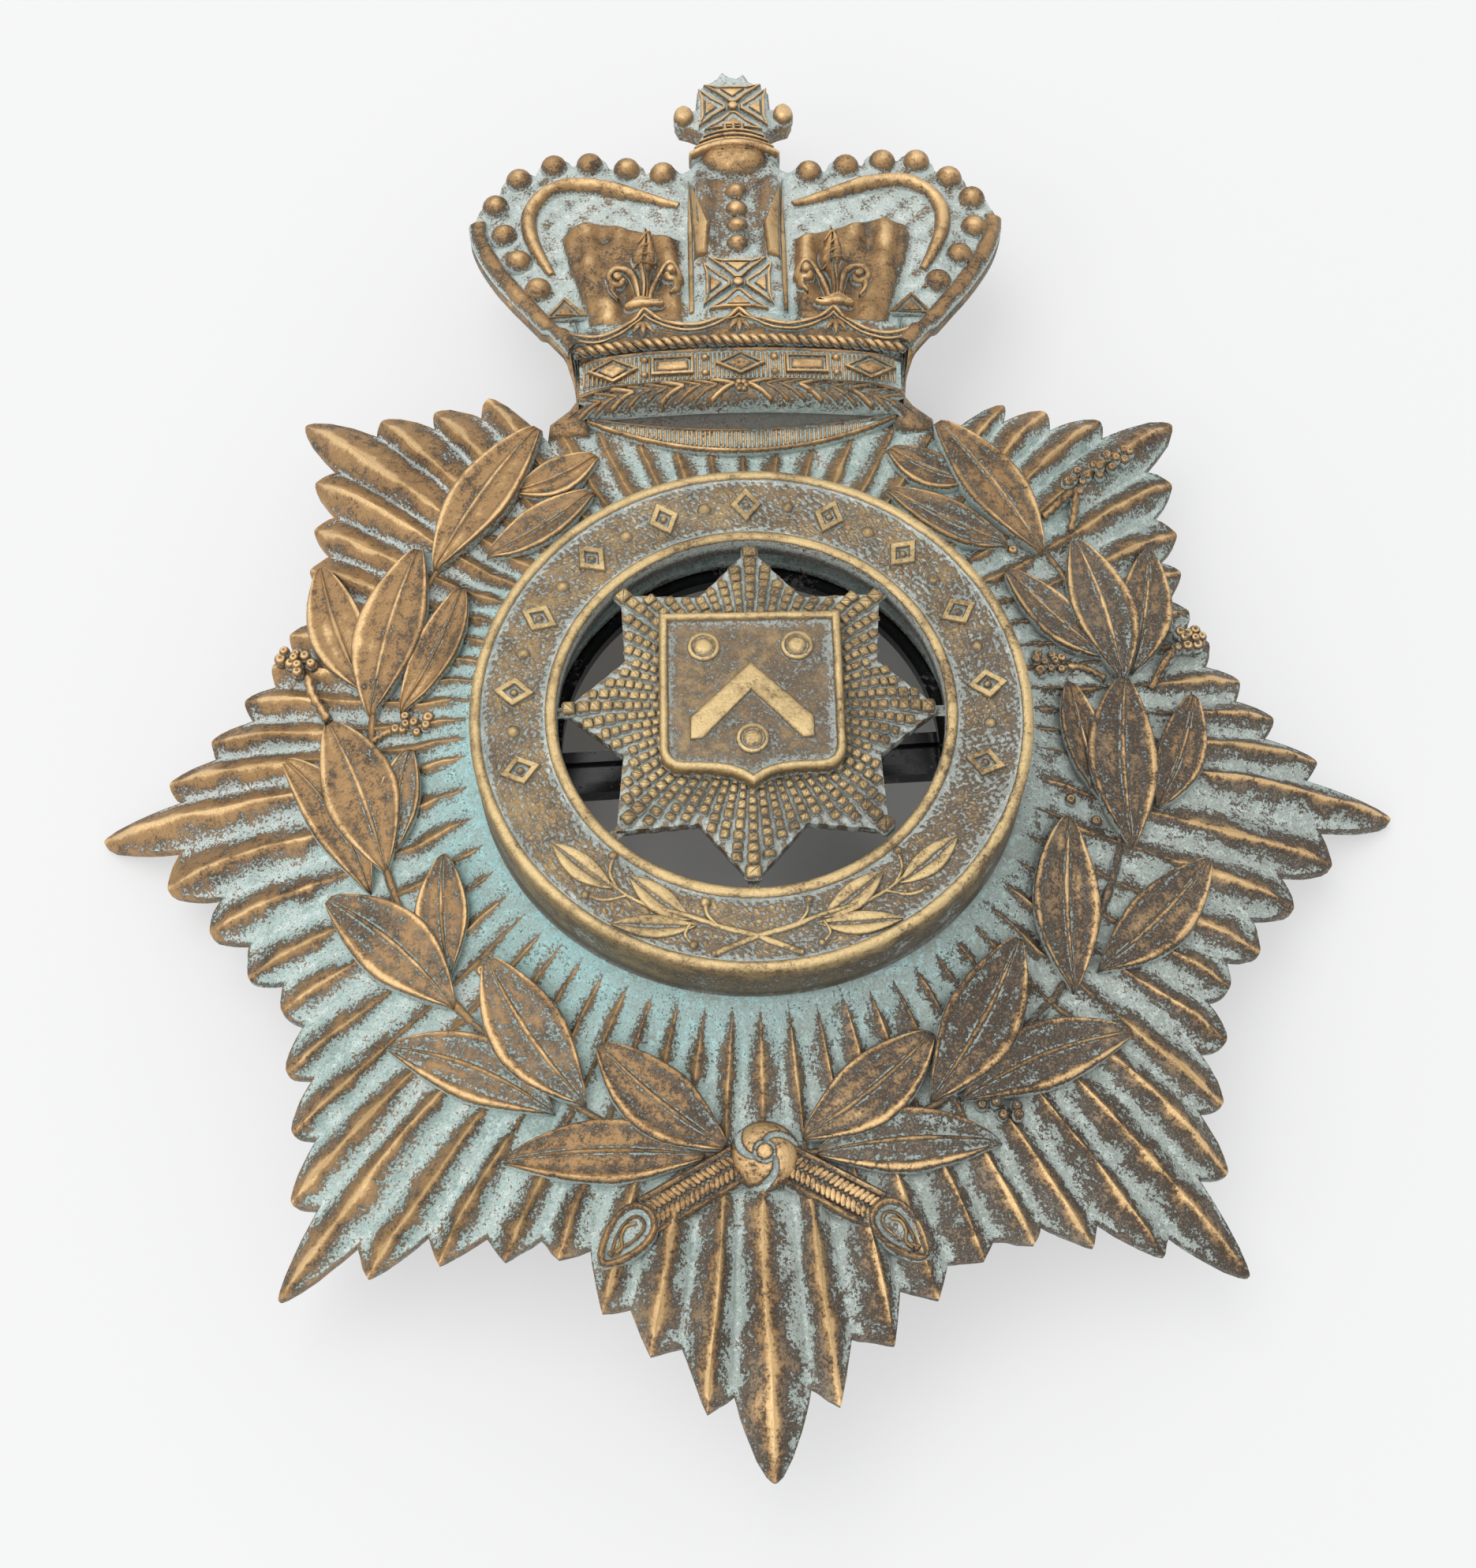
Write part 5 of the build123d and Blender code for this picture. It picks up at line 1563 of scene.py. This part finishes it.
def makeShield():
    s = shield
    seat = level(star["plane"] + star["rise"])
    heap = Heap()
    pad(heap, shieldOutline(), [
        (0.0, 0.0, 0.1), (0.0, 0.5, 0.45), (0.0, 1.0, 0.7), (0.05, 1.28, 0.9), (0.18, 1.46, 1),
        (0.36, s["thick"], 1), (0.52, 1.44, 0.9), (0.64, 1.24, 0.6), (0.70, 1.04, 0.3),
        (0.78, 1.0, 0.25), (1.5, 1.02, 0.5)], seat, root=0.0)
    field = level(star["plane"] + star["rise"] + s["thick"] - s["sunk"])
    dome = [(0, 0.0, 0.1), (0.04, 0.26, 0.6), (0.16, 0.40, 0.95), (0.34, 0.46, 1), (0.6, 0.48, 1)]
    pad(heap, s["chevron"], dome, field, root=0.1)
    for x, y in s["roundels"]:
        pad(heap, ringOutline(x, y, s["roundel"], 30), [
            (0, 0, 0.1), (0.04, 0.28, 0.6), (0.14, 0.42, 1), (0.3, 0.44, 1), (0.42, 0.30, 0.5),
            (0.5, 0.26, 0.3), (0.6, 0.34, 0.8), (0.85, 0.46, 1), (1.1, 0.49, 1)], field, root=0.1)
    return heap.piece("shieldBody", "centre_brass", sharp=50)


shieldBody = makeShield()
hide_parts("centre_shield")
stage("shield made")

# ---- floor, light and camera ----

studio = {
    "floor": (0.825, 0.825, 0.823, 1), "floorSize": 8.0, "backdrop": (0.873, 0.875, 0.876, 1), "even": 0.6,
    "sky": 0.79, "skyColour": (0.985, 0.992, 1.0, 1), "aim": (0, 0, 0.01),
    # name, watts, size and place of the soft lights, in metres
    "lights": [("keySoftbox", 10.2, (1.3, 1.0), (-0.45, 0.16, 1.50)),
               ("leftSoftbox", 3.6, (0.9, 0.6), (-1.0, -0.75, 0.9))],
    # focal length, place of the lens in millimetres, and its turn as a rotation vector
    "lens": 49.07, "eye": (-2.869, -81.505, 159.10), "turn": (2.6951, -0.0284, 0.0099),
}


def plainFloor():
    half = studio["floorSize"] / 2
    mesh = bpy.data.meshes.new("floor")
    mesh.from_pydata(
        [(-half, -half, 0), (half, -half, 0), (half, half, 0), (-half, half, 0)], [], [(0, 1, 2, 3)])
    floor = bpy.data.objects.new("floor", mesh)
    bpy.context.scene.collection.objects.link(floor)
    material = bpy.data.materials.new("paleFloor")
    t = freshTree(material)
    place = t.add("ShaderNodeTexCoord", out="Object")
    cloud = t.add("ShaderNodeTexNoise", inputs={"Vector": place, "Scale": 9.0, "Detail": 2.0})
    colour = t.mix(cloud, studio["floor"], tuple(c * 1.01 for c in studio["floor"][:3]) + (1,))
    shader = t.add("ShaderNodeBsdfPrincipled", inputs={"Base Color": colour, "Roughness": 0.8})
    glow = t.add("ShaderNodeEmission", inputs={"Color": studio["backdrop"], "Strength": 1.0})
    # rays that show the floor itself see an even backdrop, and the rest light the badge from a plain floor
    kinds = [t.add("ShaderNodeLightPath", out=kind)
             for kind in ("Is Camera Ray", "Is Glossy Ray", "Is Transmission Ray")]
    # the floor under the badge is left in its own shade
    away = t.add("ShaderNodeVectorMath", {"operation": "LENGTH"}, {0: place}, out="Value")
    seen = (kinds[0] + kinds[1] + kinds[2]) * studio["even"] * t.step(away, 0.020, 0.040)
    both = t.add("ShaderNodeMixShader", inputs={0: seen, 1: shader, 2: glow})
    t.add("ShaderNodeOutputMaterial", inputs={"Surface": both})
    mesh.materials.append(material)


def addSoftbox(name, power, size, at):
    data = bpy.data.lights.new(name, "AREA")
    data.shape = "RECTANGLE"
    data.size, data.size_y = size
    data.energy = power
    lamp = bpy.data.objects.new(name, data)
    lamp.location = at
    lamp.rotation_euler = (Vector(studio["aim"]) - Vector(at)).to_track_quat("-Z", "Y").to_euler()
    bpy.context.scene.collection.objects.link(lamp)


def lightAndCamera():
    world = bpy.data.worlds.new("studio")
    bpy.context.scene.world = world
    t = freshTree(world)
    sky = t.add("ShaderNodeBackground", inputs={"Color": studio["skyColour"], "Strength": studio["sky"]})
    t.add("ShaderNodeOutputWorld", inputs={"Surface": sky})
    for light in studio["lights"]:
        addSoftbox(*light)
    camera = bpy.data.cameras.new("camera")
    camera.lens = studio["lens"]
    camera.clip_start = 0.01
    eye = bpy.data.objects.new("camera", camera)
    turn = Vector(studio["turn"])
    look = Matrix.Rotation(turn.length, 3, turn.normalized()).transposed() @ Matrix.Diagonal((1, -1, -1))
    eye.matrix_world = Matrix.Translation(Vector(studio["eye"]) * layout["scale"]) @ look.to_4x4()
    bpy.context.scene.collection.objects.link(eye)
    bpy.context.scene.camera = eye
    bpy.context.scene.view_settings.view_transform = "Standard"


plainFloor()
lightAndCamera()
stage("floor, light and camera placed")
